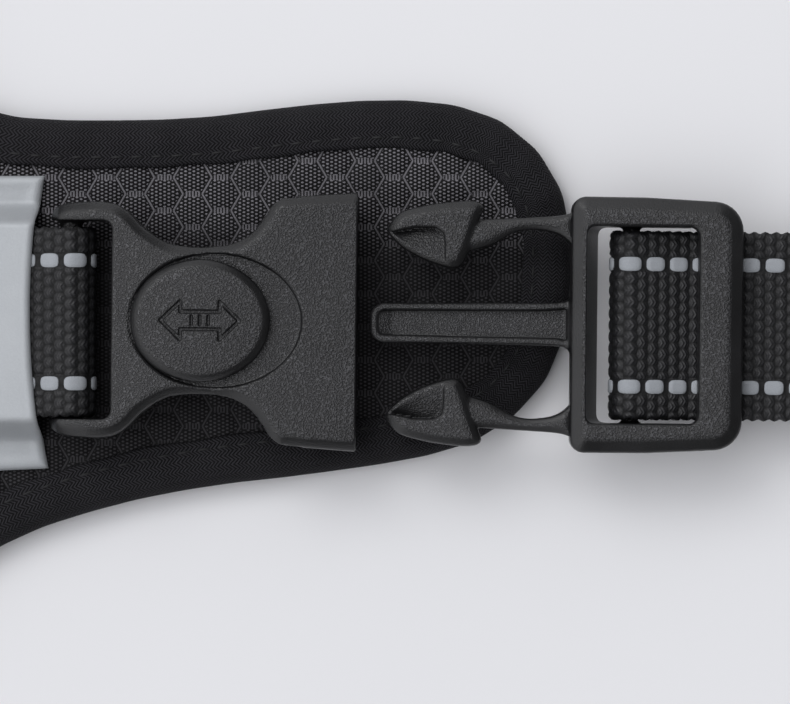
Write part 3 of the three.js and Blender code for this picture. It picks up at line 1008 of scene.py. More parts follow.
@dataclass
class FemaleHalf:
    """Socket of a side-release buckle, with its waist, its lock pocket and its webbing bar.

    Lengths run from the middle of the half: u towards the mouth, v across, w up.
    """

    mouth: float = 20.6
    half: float = 4.5
    plate: float = 1.5
    crown: float = 0.0018
    fall: float = 0.0035
    chamfer: float = 1.3
    mouth_half: float = 17.25
    wall: float = 0.8
    slot_front: float = -11.9
    slot_half: float = 13.15
    bar: tuple[float, float, float] = (-17.6, -0.5, 1.5)
    ribs: tuple[float, float, float] = (3.05, 4.15, 12.0)
    cavity_back: float = -6.4
    pocket: tuple[float, float, float, float] = (1.8, 11.45, 8.9, 0.8)
    stem: tuple[float, float, float] = (-2.8, 6.3, 1.6)
    side: Points = (
        (-20.6, 12.6), (-20.3, 13.9), (-19.6, 14.8), (-18.2, 15.4), (-15.8, 15.6), (-13.3, 15.65),
        (-11.3, 15.25), (-9.6, 14.15), (-7.6, 12.15), (-4.8, 10.45), (-2.5, 9.95), (0.5, 9.85),
        (3.7, 10.3), (6.3, 11.7), (8.0, 13.9), (9.0, 15.5), (10.2, 16.35), (12.0, 16.6),
        (24.0, 17.4), (24.0, 17.4),
    )

    def outline(self) -> list[tuple[float, float]]:
        """The half's outline, run on past the mouth.

        Returns:
            Points of the closed outline.
        """
        upper = list(self.side)
        lower = [(u, -v) for u, v in reversed(upper)]
        return smooth_outline([*lower, *upper], 4)

    def field(self, u: Array, v: Array, w: Array) -> Array:
        """Signed distance to the socket.

        Args:
            u: Places along the half.
            v: Places across it.
            w: Heights.

        Returns:
            The distance at each place.
        """
        flat = polygon_distance(u, v, self.outline())
        half = np.interp(u, [-20.6, -19.2, -14.0], [1.9, 3.2, self.half])
        half = np.minimum(half, self.half - self.crown * (u + 3.0) ** 2)
        half = half - self.fall * np.maximum(-3.0 - u, 0.0) ** 2
        body = extruded(flat, w, half, 0.45)
        bevel = (np.abs(w) - half + (flat + self.chamfer) * 0.9) / math.hypot(1.0, 0.9)
        body = smooth_max(body, bevel, 0.35)
        body = smooth_max(body, u - self.mouth, 0.35)
        body = smooth_max(body, -20.6 - u, 0.8)
        body = smooth_max(body, -self.hollows(u, v, w), 0.3)
        bar_u, bar_w, bar_r = self.bar
        bar = np.hypot(u - bar_u, w - bar_w) - bar_r
        bar = np.maximum(bar, np.abs(v) - self.slot_half - 1.0)
        body = smooth_min(body, bar, 0.8)
        pocket_u, a, b, depth = self.pocket
        oval = ellipse_distance(u - pocket_u, v, a, b)
        floor = self.half - depth - 0.35 * np.clip((u - pocket_u) / a, -1.0, 1.0)
        body = smooth_max(body, -smooth_max(oval, floor - w, 0.25), 0.22)
        back, front, half_stem = self.stem
        stem = box_distance(u, v, w, (back, -half_stem, 2.0), (front, half_stem, 6.0), 0.3)
        return np.maximum(body, -stem)

    def hollows(self, u: Array, v: Array, w: Array) -> Array:
        """Signed distance to the spaces inside: mouth, channels and webbing slot.

        Args:
            u: Places along the half.
            v: Places across it.
            w: Heights.

        Returns:
            The distance at each place.
        """
        tall = np.minimum(self.half - self.plate, self.half - self.crown * (u + 3.0) ** 2 - 0.9)
        inside = self.mouth_half - self.wall
        rib_in, rib_out, rib_front = self.ribs
        mouth = box_distance(u, v, w, (rib_front, -inside, -tall), (self.mouth + 3.0, inside, tall), 0.7)
        lip = (np.abs(w) - tall) - np.maximum(u - self.mouth + 1.2, 0.0) * 0.2
        lip = np.maximum(smooth_max(lip, np.abs(v) - inside, 1.6), self.mouth - 1.2 - u)
        deep = rib_front + 1.5
        outer = box_distance(
            u, np.abs(v), w, (self.cavity_back, rib_out, -tall), (deep, inside, tall), 0.6)
        middle = box_distance(u, v, w, (self.cavity_back, -rib_in, -tall), (deep, rib_in, tall), 0.6)
        slot = box_distance(
            u, v, w, (-24.0, -self.slot_half, -8.0), (self.slot_front, self.slot_half, 8.0), 1.3)
        found = np.minimum(np.minimum(mouth, lip), np.minimum(outer, middle))
        return np.minimum(found, slot)

    def build(self, name: str) -> bpy.types.Object:
        """Makes the socket's mesh in its local frame."""
        grid = Grid((-21.2, -18.0, -5.0), (21.2, 18.0, 5.0), (0.26, 0.26, 0.25))
        return grid.mesh(name, self.field)


@dataclass
class LockButton:
    """Oval sliding lock with a domed cap and an engraved double-headed arrow."""

    centre: float = -0.1
    a: float = 9.3
    b: float = 8.15
    low: float = 4.0
    high: float = 5.75
    engraving: float = 0.3
    line: float = 0.19
    arrow: Points = (
        (-5.2, 0.0), (-2.6, 2.5), (-2.6, 1.15), (2.6, 1.15), (2.6, 2.5), (5.2, 0.0),
        (2.6, -2.5), (2.6, -1.15), (-2.6, -1.15), (-2.6, -2.5),
    )

    def field(self, u: Array, v: Array, w: Array) -> Array:
        """Signed distance to the cap and its stem.

        Args:
            u: Places along the half.
            v: Places across it.
            w: Heights.

        Returns:
            The distance at each place.
        """
        x = u - self.centre
        oval = ellipse_distance(x, v, self.a, self.b)
        shape = np.clip(1.0 + oval / 8.15, 0.0, 1.2)
        top = self.high - 0.5 * shape**2 - 0.25 * np.clip(x / self.a, -1.0, 1.0)
        cap = smooth_max(oval, w - top, 0.6)
        bevel = (w - top + (oval + 0.9) * 0.9) / 1.34
        cap = smooth_max(cap, bevel, 0.35)
        cap = smooth_max(cap, self.low - w, 0.3)
        groove = np.abs(polygon_distance(x, v, self.arrow)) - self.line
        for post in (-1.1, 0.0, 1.1):
            groove = np.minimum(groove, np.maximum(np.abs(x - post) - self.line * 0.8, np.abs(v) - 0.75))
        cap = smooth_max(cap, -np.maximum(groove, top - self.engraving - w), 0.12)
        stem = box_distance(x, v, w, (-2.4, -1.3, 2.7), (2.4, 1.3, 4.6), 0.2)
        return np.minimum(cap, stem)

    def build(self, name: str) -> bpy.types.Object:
        """Makes the lock's mesh in the female half's frame."""
        grid = Grid((-9.8, -8.6, 2.4), (9.6, 8.6, 6.1), (0.16, 0.16, 0.12))
        return grid.mesh(name, self.field)


@dataclass
class MaleHalf:
    """Frame, guide tongue and squeeze arms of a side-release buckle.

    Lengths run from the root face: m towards the strap, v across, w up.
    """

    length: float = 22.8
    half: float = 3.6
    half_width: float = 16.9
    window: tuple[float, float, float] = (2.1, 16.9, 13.05)
    end_bar_low: float = -0.4
    inner_bar: tuple[float, float, float] = (8.1, -1.6, 1.1)
    tongue_length: float = 26.6
    tongue_half: float = 2.6
    tongue_thick: float = 1.5
    barb_half: float = 2.6
    head: Points = (
        (-24.4, 12.7), (-24.4, 12.7), (-24.2, 11.8), (-22.4, 10.0), (-19.6, 8.45), (-17.0, 7.55),
        (-15.6, 7.3), (-14.5, 7.7), (-13.6, 9.6), (-12.7, 12.4), (-11.9, 14.6), (-11.7, 15.5),
        (-12.3, 16.1), (-14.0, 16.3), (-17.2, 16.0), (-20.0, 15.5), (-22.8, 14.6),
    )
    neck: Points = (
        (-15.5, 8.4), (-13.3, 9.6), (-10.5, 10.5), (-7.9, 11.95), (-5.7, 12.55), (-3.0, 12.35),
        (-1.2, 11.7), (0.3, 10.4), (0.3, 10.4), (0.3, 15.0), (0.3, 15.0), (-1.5, 14.45), (-6.0, 14.15),
        (-11.6, 13.85), (-15.0, 13.6), (-15.0, 13.6),
    )
    facet: Points = (
        (-24.2, 12.0), (-20.5, 12.75), (-18.0, 12.7), (-16.95, 12.0), (-16.75, 10.5), (-16.75, 6.0),
        (-20.0, 6.5), (-25.5, 10.5),
    )

    def frame_outline(self) -> list[tuple[float, float]]:
        """The frame's outline with its four rounded corners.

        Returns:
            Points of the closed outline.
        """
        w = self.half_width
        end = self.length - 3.9
        upper = [(0.0, w - 2.0), *arc((1.9, w - 1.8), 1.9, 165, 95, 5), (10.0, w + 0.05),
                 *arc((end, w - 4.3), 3.9, 85, 0, 8)]
        lower = [(m, -v) for m, v in reversed(upper)]
        return [*upper, *lower][::-1]

    def frame_field(self, m: Array, v: Array, w: Array) -> Array:
        """Signed distance to the frame and tongue.

        Args:
            m: Places along the half.
            v: Places across it.
            w: Heights.

        Returns:
            The distance at each place.
        """
        flat = polygon_distance(m, v, self.frame_outline())
        body = extruded(flat, w, self.half, 0.5)
        bevel = (np.abs(w) - self.half + (flat + 1.9) * 0.62) / math.hypot(1.0, 0.62)
        body = smooth_max(body, bevel, 0.3)
        start, end, wide = self.window
        slope = np.clip((2.2 - w) / 6.5, 0.0, 1.0)
        reach = np.maximum(start + 2.0 * slope - m, m - end)
        hole = smooth_max(reach, np.abs(v) - wide, 1.3)
        body = smooth_max(body, -hole, 0.5)
        under = np.maximum(np.maximum(end - 0.5 - m, np.abs(v) - wide), w - self.end_bar_low)
        body = smooth_max(body, -under, 0.6)
        for groove in (0.55, 1.25):
            cut = np.hypot(m - groove, w - self.half - 0.04) - 0.24
            body = smooth_max(body, -np.maximum(cut, np.abs(v) - 15.2), 0.1)
        bar_m, bar_w, bar_r = self.inner_bar
        bar = np.maximum(np.hypot(m - bar_m, w - bar_w) - bar_r, np.abs(v) - wide - 0.6)
        body = smooth_min(body, bar, 0.7)
        return smooth_min(body, self.tongue(m, v, w), 0.9)

    def tongue(self, m: Array, v: Array, w: Array) -> Array:
        """Signed distance to the guide tongue, a channel with a raised rim.

        Args:
            m: Places along the half.
            v: Places across it.
            w: Heights.

        Returns:
            The distance at each place.
        """
        flare = 0.25 * np.clip((m + self.tongue_length) / self.tongue_length, 0.0, 1.0)
        wide = self.tongue_half + flare + 0.5 * np.exp(np.minimum(m, 0.0) / 0.9)
        tip = -self.tongue_length + 1.9
        dm, dv = np.maximum(tip - m, 0.0), np.maximum(np.abs(v) - (wide - 1.9), 0.0)
        flat = np.maximum(np.hypot(dm, dv) - 1.9, m - 1.5)
        bar = extruded(flat, w, self.tongue_thick, 0.35)
        floor = 0.55 + 0.75 * np.clip((-m - 23.6) / 2.2, 0.0, 1.0)
        rim = np.maximum(flat + 0.95, m + 0.5)
        return smooth_max(bar, -smooth_max(rim, floor - w, 0.25), 0.25)

    def arm_field(self, m: Array, v: Array, w: Array) -> Array:
        """Signed distance to one squeeze arm with its barb, on the positive side.

        Args:
            m: Places along the half.
            v: Places across it.
            w: Heights.

        Returns:
            The distance at each place.
        """
        head_flat = polygon_distance(m, v, smooth_outline(self.head, 4))
        head = extruded(head_flat, w, self.barb_half, 0.3)
        bevel = (np.abs(w) - self.barb_half + (head_flat + 1.1) * 0.8) / 1.28
        head = smooth_max(head, bevel, 0.3)
        inner = np.interp(m, [-24.4, -19.6, -16.8], [11.4, 8.4, 7.5])
        fall = np.clip((v - inner) / np.maximum(12.6 - inner, 0.5), 0.0, 1.0)
        depth = 0.35 + 1.25 * fall**1.5
        facet = np.maximum(polygon_distance(m, v, self.facet), self.barb_half - depth - w)
        head = smooth_max(head, -facet, 0.25)
        neck_flat = polygon_distance(m, v, smooth_outline(self.neck, 4))
        half = np.interp(m, [-14.0, -9.5, -6.0, 0.0], [1.9, 1.9, 2.1, 2.6])
        neck = extruded(neck_flat, w, half, 0.35)
        fall = (np.abs(w) - half + (neck_flat + 1.0) * 0.55) / 1.14
        neck = smooth_max(neck, fall, 0.25)
        root = np.maximum(m - 0.25, -24.6 - m)
        return np.maximum(smooth_min(head, neck, 0.25), root)

    def build_frame(self, name: str) -> bpy.types.Object:
        """Makes the frame and tongue in the local frame."""
        grid = Grid((-27.1, -17.6, -4.1), (23.4, 17.6, 4.1), (0.26, 0.26, 0.24))
        return grid.mesh(name, self.frame_field)

    def build_arm(self, name: str, side: int) -> bpy.types.Object:
        """Makes one arm in the local frame; side is plus or minus one.

        Args:
            name: Name of the piece.
            side: Plus one for the side of positive v, minus one for the other.

        Returns:
            The arm.
        """
        grid = Grid((-24.9, 6.8, -3.0), (0.8, 16.9, 3.0), (0.2, 0.2, 0.2))
        obj = grid.mesh(name, self.arm_field)
        if side < 0:
            obj.data.transform(Matrix.Diagonal((1.0, -1.0, 1.0, 1.0)))
            obj.data.flip_normals()
        return obj


class Side(Enum):
    """The two flanks of the vest."""

    RIGHT = "right"
    LEFT = "left"


@dataclass
class Buckles:
    """Both side-release buckles, the right one laid open and the left one apart."""

    frame: dict
    plastic: bpy.types.Material
    female: FemaleHalf = field(default_factory=FemaleHalf)
    lock: LockButton = field(default_factory=LockButton)
    male: MaleHalf = field(default_factory=MaleHalf)

    def female_seat(self, side: Side) -> Seat:
        """Where the socket lies.

        Args:
            side: Which flank.

        Returns:
            Its local frame.
        """
        name = side.value
        bar_u, bar_w, _ = self.female.bar
        return seat_of(self.frame, f"female_{name}_tilt", f"lock_{name}_slide", (bar_u, 0.0, bar_w))

    def male_seat(self, side: Side) -> Seat:
        """Where the male half lies; the far one faces back.

        Args:
            side: Which flank.

        Returns:
            Its local frame.
        """
        turn = 1.0 if side is Side.RIGHT else -1.0
        local = (self.male.length + 2.2, 0.0, -1.4)
        return seat_of(self.frame, f"strap_bend_{side.value}", "lock_right_slide", local, turn)

    def build(self) -> None:
        """Makes the plastic pieces of both buckles; seats the socket, lock and frame on their bodies and sets
        the arms in place.
        """
        for side in Side:
            name = side.value
            seat = self.female_seat(side)
            socket = set_down(self.female.build(f"buckle_socket_{name}"), seat)
            dress(socket, self.plastic, f"female_{name}")
            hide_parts(f"female_body_{name}")
            lock = set_down(self.lock.build(f"sliding_lock_{name}"), seat)
            dress(lock, self.plastic, f"lock_{name}")
            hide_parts(f"lock_button_{name}")
            seat = self.male_seat(side)
            frame = set_down(self.male.build_frame(f"buckle_frame_{name}"), seat)
            dress(frame, self.plastic, f"male_{name}")
            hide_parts(f"male_frame_{name}")
            for end, sign in (("front", 1), ("rear", -1)):
                arm = set_down(self.male.build_arm(f"squeeze_arm_{end}_{name}", sign), seat)
                arm.data.materials.append(self.plastic)
                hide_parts(f"barb_arm_{end}_{name}")
                seat.at(0.4, 0.0, 0.0)
                seat.at(-5.0, 0.0, 0.0)
                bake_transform(arm)
            LOG.info("buckle %s: socket, lock, frame and two arms", name)


# ---- ribbons ----------------------------------------------------------------------------------------


def resampled(path: Points, step: float, soften: float = 0.0) -> Array:
    """Places along a path, evenly spaced.

    Args:
        path: Corners of the path, in millimetres.
        step: Wanted spacing.
        soften: Length over which corners are eased.

    Returns:
        One row for each place.
    """
    p = np.array(path, float)
    run = np.concatenate([[0.0], np.cumsum(np.hypot(*np.diff(p, axis=0).T))])
    count = max(int(round(run[-1] / step)), 2)
    at = np.linspace(0.0, run[-1], count + 1)
    out = np.stack([np.interp(at, run, p[:, k]) for k in range(2)], 1)
    if soften > 0.0:
        reach = max(int(soften / step), 1)
        weights = np.hanning(2 * reach + 3)[1:-1]
        weights /= weights.sum()
        padded = np.concatenate([
            2 * out[0] - out[reach:0:-1], out, 2 * out[-1] - out[-2:-reach - 2:-1],
        ])
        out = np.stack([np.convolve(padded[:, k], weights, "valid") for k in range(2)], 1)
    return out


def add_tape(mesh: bpy.types.Mesh, along: Array, across: Array) -> None:
    """Stores how far along and across a tape each vertex lies, as the UV map called tape.

    Args:
        mesh: The mesh.
        along: Millimetres along, one for each vertex.
        across: Millimetres across, one for each vertex.
    """
    layer = mesh.uv_layers.new(name="tape")
    index = np.empty(len(mesh.loops), np.int32)
    mesh.loops.foreach_get("vertex_index", index)
    layer.data.foreach_set("uv", np.stack([along[index], across[index]], 1).astype(np.float32).ravel())


@dataclass(frozen=True)
class Ribbon:
    """A length of webbing that follows a path in its own plane.

    Args:
        path: Corners of the path: distance along and height.
        width: Width of the webbing.
        thick: Its thickness without the weave's relief.
        relief: How high the weave stands on each face.
        step: Spacing of the mesh.
        start: Where along the weave the path begins.
    """

    path: Points
    width: float = 25.0
    thick: float = 1.15
    relief: float = 0.3
    step: float = 0.3
    start: float = 0.0

    def build(self, name: str, height: Callable[[Array, Array], Array] | None) -> bpy.types.Object:
        """Makes the ribbon: first axis along, second across, third up.

        Args:
            name: Name of the piece.
            height: Gives the weave's relief from 0 to 1, or nothing for smooth webbing.

        Returns:
            The object, in its own coordinates.
        """
        line = resampled(self.path, self.step, 0.9)
        run = np.concatenate([[0.0], np.cumsum(np.hypot(*np.diff(line, axis=0).T))]) + self.start
        across = np.linspace(-self.width / 2, self.width / 2, int(self.width / self.step) + 1)
        slope = np.gradient(line, axis=0)
        slope /= np.linalg.norm(slope, axis=1)[:, None]
        normal = np.stack([-slope[:, 1], slope[:, 0]], 1)
        s, t = np.meshgrid(run, across, indexing="ij")
        weave = height(s, t) if height else np.full(s.shape, 0.5)
        edge = np.clip((self.width / 2 - np.abs(t)) / 0.9, 0.0, 1.0)
        bulge = 0.45 + 0.55 * np.sqrt(edge * (2.0 - edge))
        lift = (self.thick / 2 + self.relief * weave) * bulge
        scallop = 0.14 * np.cos(2 * math.pi * s / 1.45) * (1.0 - edge) * np.sign(t)
        sides = []
        for sign in (1.0, -1.0):
            x = line[:, 0:1] + sign * lift * normal[:, 0:1]
            z = line[:, 1:2] + sign * lift * normal[:, 1:2]
            sides.append(np.stack([x, t + scallop, z], 2).reshape(-1, 3))
        rows, columns = s.shape
        number = np.arange(rows * columns).reshape(rows, columns)
        top = quads_of(number)[:, ::-1]
        under = quads_of(number + rows * columns)
        rim = np.concatenate([number[0, :], number[1:, -1], number[-1, -2::-1], number[-2:0:-1, 0]])
        next_rim = np.roll(rim, -1)
        other = rows * columns
        walls = np.stack([rim, next_rim, next_rim + other, rim + other], 1)
        obj = link_mesh(name, np.concatenate(sides) * MM, np.concatenate([top, under, walls]))
        add_tape(obj.data, np.tile(s.ravel(), 2), np.tile(t.ravel(), 2))
        face_out(obj)
        return obj


def quads_of(number: Array) -> Array:
    """The quads between the neighbours in a grid of vertex numbers."""
    return np.stack([number[:-1, :-1], number[:-1, 1:], number[1:, 1:], number[1:, :-1]], 2).reshape(-1, 4)


def face_out(obj: bpy.types.Object) -> None:
    """Turns a closed mesh's faces outwards where its volume says that they face in.

    Args:
        obj: The closed mesh object.
    """
    work = bmesh.new()
    work.from_mesh(obj.data)
    if work.calc_volume(signed=True) < 0.0:
        bmesh.ops.reverse_faces(work, faces=work.faces)
    work.to_mesh(obj.data)
    work.free()


def turned_across(obj: bpy.types.Object, place: Vector) -> bpy.types.Object:
    """Turns a ribbon from along X to along Y and moves it."""
    obj.data.transform(Matrix.Translation(place) @ Matrix.Rotation(math.pi / 2, 4, "Z"))
    return obj


@dataclass
class Stitching:
    """Rows of sewn stitches, gathered into one mesh.

    Args:
        length: Length of a stitch.
        pitch: From one stitch to the next.
        radius: Half the thread's thickness.
    """

    length: float = 2.1
    pitch: float = 2.7
    radius: float = 0.2
    verts: list = field(default_factory=list)
    faces: list = field(default_factory=list)

    def row(self, line: Sequence[Sequence[float]]) -> None:
        """Sews along a polyline of places in millimetres.

        Args:
            line: Places along the row.
        """
        p = np.array(line, float)
        run = np.concatenate([[0.0], np.cumsum(np.linalg.norm(np.diff(p, axis=0), axis=1))])
        for k in range(int(run[-1] / self.pitch)):
            start = (k + 0.5) * self.pitch - self.length / 2
            at = start + self.length * np.array([0.0, 0.12, 0.5, 0.88, 1.0])
            middle = np.stack([np.interp(at, run, p[:, j]) for j in range(3)], 1)
            self.stitch(middle)

    def stitch(self, middle: Array) -> None:
        """Adds one stitch along five places; its ends dip into the cloth.

        Args:
            middle: Five places along the stitch's middle.
        """
        ahead = middle[-1] - middle[0]
        side = np.cross((0.0, 0.0, 1.0), ahead)
        side /= max(np.linalg.norm(side), 1e-9)
        first = len(self.verts)
        turns = np.arange(6) * math.pi / 3
        for place, swell, sink in zip(middle, (0.25, 0.8, 1.0, 0.8, 0.25), (0.3, 0.08, 0.0, 0.08, 0.3)):
            for t in turns:
                out = side * math.cos(t) * 1.15 + np.array((0.0, 0.0, math.sin(t)))
                self.verts.append(place + self.radius * swell * out - (0.0, 0.0, sink))
        for ring in range(4):
            for k in range(6):
                a, b = first + ring * 6 + k, first + ring * 6 + (k + 1) % 6
                self.faces.append((a, a + 6, b + 6, b))
        for k in range(1, 5):
            self.faces.append((first, first + k, first + k + 1, first + k + 1))
            last = first + 24
            self.faces.append((last, last + k + 1, last + k, last + k))

    def build(self, name: str) -> bpy.types.Object:
        """Makes the mesh of all rows."""
        faces = [face[:3] if face[2] == face[3] else face for face in self.faces]
        return link_mesh(name, np.array(self.verts) * MM, faces)


def box_mm(node: str) -> tuple[Vector, Vector]:
    """A node's lowest and highest corners, in millimetres."""
    low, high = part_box(node)
    return Vector(low) / MM, Vector(high) / MM


@dataclass
class Straps:
    """Girth webbing, belly strap, neck webbing and leash-ring tab."""

    buckles: Buckles
    weave: Weave
    woven: bpy.types.Material
    plain: bpy.types.Material
    thick: float = 1.4
    clear: float = 0.3
    gap_round_bar: float = 0.45
    bend: tuple[float, float] = (21.5, 29.5)
    slope: float = 42.0
    neck_y: float = 162.0
    ring_y: float = -53.0

    def level(self) -> float:
        """Height of the middle of webbing that lies on the panel."""
        return box_mm("girth_webbing")[0].z + self.thick / 2

    def girth(self) -> None:
        """The girth webbing: one length over the saddle, looped round both rear bars."""
        bar_u, bar_w, bar_r = self.buckles.female.bar
        bar = self.buckles.female_seat(Side.RIGHT).at(bar_u, 0.0, bar_w) / MM
        low = self.level()
        high = low + self.thick + self.clear
        r = bar_r + self.gap_round_bar + self.thick / 2
        right = [(62.5, low), (70.0, low), *arc((bar.x, bar.z), r, -100, 90, 24),
                 (68.0, high), (61.0, high), (56.0, low)]
        obj = Ribbon([*right, *[(-x, z) for x, z in reversed(right)]]).build("girth_strap", self.weave.height)
        dress(obj, self.woven, "saddle")
        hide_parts("girth_webbing", "girth_loop_right", "girth_loop_left")

    def loop(self, side: Side) -> list[tuple[float, float]]:
        """The strap's way round a male half's inner bar, in that half's frame.

        Args:
            side: Which flank.

        Returns:
            Corners of the path.
        """
        m, w, r = self.buckles.male.inner_bar
        turn = r + self.clear + self.thick / 2
        under = self.buckles.male.end_bar_low - self.clear - self.thick / 2
        length = self.buckles.male.length
        return [(length - 1.5, w - turn + 0.45), *arc((m, w), turn, 270, 90, 20), (m + 7.5, under),
                (length + 2.2, under)]

    def belly(self) -> None:
        """The belly strap in two halves that meet on the pad; each slopes down from its frame."""
        near, far = self.buckles.male_seat(Side.RIGHT), self.buckles.male_seat(Side.LEFT)
        base = self.buckles.female_seat(Side.RIGHT)
        ground = Seat(Vector((base.origin.x, base.origin.y, 0.0)), base.along)
        root = (near.origin - base.origin).dot(base.along) / MM
        far_root = (far.origin - base.origin).dot(base.along) / MM
        low, high = box_mm("belly_pad_binding")
        middle = (low.x + high.x) / 2 - base.origin.x / MM
        pad_end = high.x - base.origin.x / MM
        loop = [(root + m, w + near.origin.z / MM) for m, w in self.loop(Side.RIGHT)]
        level = self.level()
        right = [*loop, (loop[-1][0] + 3.0, loop[-1][1]), (loop[-1][0] + self.slope, level), (middle, level)]
        loop = [(far_root - m, w + far.origin.z / MM) for m, w in reversed(self.loop(Side.LEFT))]
        left = [(middle, level), (pad_end + 4.0, level), (loop[0][0] - 6.0, loop[0][1]), *loop]
        run = float(np.hypot(*np.diff(np.array(right), axis=0).T).sum())
        halves = ((Side.RIGHT, right, 0.0, near), (Side.LEFT, left, run, far))
        for side, path, start, seat in halves:
            obj = Ribbon(path, start=start).build(f"belly_strap_{side.value}", self.weave.height)
            set_down(obj, ground)
            obj.data.materials.append(self.woven)
            run_node = "belly_strap_near" if side is Side.RIGHT else "belly_strap_far"
            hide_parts(f"strap_loop_{side.value}", "belly_strap", run_node)
            first, last = (seat.at(m, 0.0, -1.4) for m in self.bend)
            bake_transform(obj)
            LOG.info("belly strap %s: %d faces", side.value, len(obj.data.polygons))

    def neck(self) -> None:
        """The webbing that joins the neck fork's horns and rises over the slider's bar."""
        low = self.level()
        top = box_mm("neck_slider")[1].z + self.clear + self.thick / 2
        half = [(27.0, low), (14.0, low), (7.4, low), (2.4, top)]
        obj = Ribbon([*half, *[(-x, z) for x, z in reversed(half)]], step=0.5).build("neck_strap", None)
        obj.data.transform(Matrix.Translation((0.0, self.neck_y * MM, 0.0)))
        dress(obj, self.plain, "saddle")
        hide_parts("neck_webbing")

    def ring_tab(self) -> None:
        """The folded tab that holds the leash ring."""
        low, z = self.level(), sum(box_mm("leash_ring")[i].z for i in (0, 1)) / 2
        high = low + self.thick + self.clear
        r = 1.9 + self.gap_round_bar + 0.4 + self.thick / 2
        path = [(20.0, low), (4.0, low), *arc((0.0, z), r, 290, 90, 20), (8.0, high + 0.4), (20.0, high)]
        obj = Ribbon(path, step=0.5).build("ring_tab", None)
        turned_across(obj, Vector((0.0, self.ring_y * MM, 0.0)))
        dress(obj, self.plain, "saddle")
        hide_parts("leash_ring_tab")

    def build(self) -> None:
        """Makes all the webbing."""
        self.girth()
        self.belly()
        self.neck()
        self.ring_tab()


@dataclass
class Hardware:
    """Leash ring, neck slider and handle."""

    plastic: bpy.types.Material
    steel: bpy.types.Material
    plain: bpy.types.Material
    wire: float = 1.9
    half_in: float = 14.0
    depth: float = 19.0
    slider: tuple[float, float, float, float] = (10.4, 15.6, 2.4, 1.8)
    handle_half: float = 33.0
    handle_foot: float = 11.0
    handle_rise: float = 24.0

    def ring(self) -> None:
        """A D-shaped ring of round wire with its weld."""
        low, high = box_mm("leash_ring")
        a = self.half_in + self.wire
        bow = [(a * math.cos(t), (self.depth - 2.0) * math.sin(t))
               for t in np.radians(np.linspace(200, 340, 21))]
        path = smooth_outline([*bow, (a, 0.0), (a - 3.0, 0.0), (0.0, 0.0), (3.0 - a, 0.0), (-a, 0.0)], 6)
        p = np.array(path)
        ahead = np.roll(p, -1, 0) - np.roll(p, 1, 0)
        out = np.stack([ahead[:, 1], -ahead[:, 0]], 1) / np.linalg.norm(ahead, axis=1)[:, None]
        turns = np.radians(np.arange(0, 360, 15))
        weld = 0.16 * np.exp(-((p[:, 0] - 6.0) / 1.3) ** 2) * (p[:, 1] > -1.0)
        radius = (self.wire + weld)[:, None]
        x = p[:, 0:1] + radius * np.cos(turns) * out[:, 0:1]
        y = p[:, 1:2] + radius * np.cos(turns) * out[:, 1:2]
        z = radius * np.sin(turns) * np.ones_like(x)
        number = np.arange(x.size).reshape(x.shape)
        number = np.concatenate([number, number[:1]])
        number = np.concatenate([number, number[:, :1]], 1)
        verts = np.stack([x, y, z], 2).reshape(-1, 3)
        verts += (0.0, high.y - self.wire, (low.z + high.z) / 2)
        obj = link_mesh("leash_d_ring", verts * MM, quads_of(number))
        face_out(obj)
        dress(obj, self.steel, "ring")
        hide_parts("leash_ring")

    def slider_field(self, x: Array, y: Array, z: Array) -> Array:
        """Signed distance to the three-bar slider.

        Args:
            x: Places along X.
            y: Places along Y.
            z: Heights.

        Returns:
            The distance at each place.
        """
        half_x, half_y, bar, thick = self.slider
        flat = box_distance(x, y, 0.0 * z, (-half_x, -half_y, -1.0), (half_x, half_y, 1.0), 0.0)
        corner = np.maximum(np.abs(x) + np.abs(y) - half_x - half_y + 2.2, flat)
        body = extruded(corner, z, thick / 2, 0.6)
        wide = half_y - 2.6
        middle = (half_x - bar / 2) / 2
        window = np.maximum(np.abs(np.abs(x) - middle) - middle + bar / 2, np.abs(y) - wide)
        return smooth_max(body, -window, 0.5)

    def neck_slider(self) -> None:
        """The slider that the neck webbing runs through."""
        low, high = box_mm("neck_slider")
        half_x, half_y, _, thick = self.slider
        grid = Grid((-half_x - 0.6, -half_y - 0.6, -1.6), (half_x + 0.6, half_y + 0.6, 1.6), (0.4, 0.4, 0.3))
        obj = grid.mesh("neck_adjuster", self.slider_field)
        centre = (low + high) / 2 * MM
        obj.data.transform(Matrix.Translation(centre))
        dress(obj, self.plastic, "saddle")
        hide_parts("neck_slider")

    def handle(self) -> None:
        """The grab handle: thick webbing, sewn down at both feet."""
        low, high = box_mm("handle")
        y = (low.y + high.y) / 2
        level = low.z + 1.0
        foot = self.handle_half - self.handle_foot
        side = [(self.handle_half, level), (foot, level), (foot - 3.0, level + 4.0),
                (foot - 5.0, self.handle_rise - 5.0), (foot - 9.0, self.handle_rise)]
        path = [*side, *[(-x, z) for x, z in reversed(side)]]
        obj = Ribbon(path, width=22.0, thick=1.7, step=0.5).build("grab_handle", None)
        turned_across(obj, Vector((0.0, y * MM, 0.0)))
        dress(obj, self.plain, "saddle")
        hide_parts("handle")

    def build(self) -> None:
        """Makes the hardware."""
        self.ring()
        self.neck_slider()
        self.handle()


# ---- padded panels ----------------------------------------------------------------------------------


def width_of(loop: Sequence[Sequence[float]]) -> float:
    """How far a loop of places reaches along X."""
    return max(x for x, *_ in loop) - min(x for x, *_ in loop)


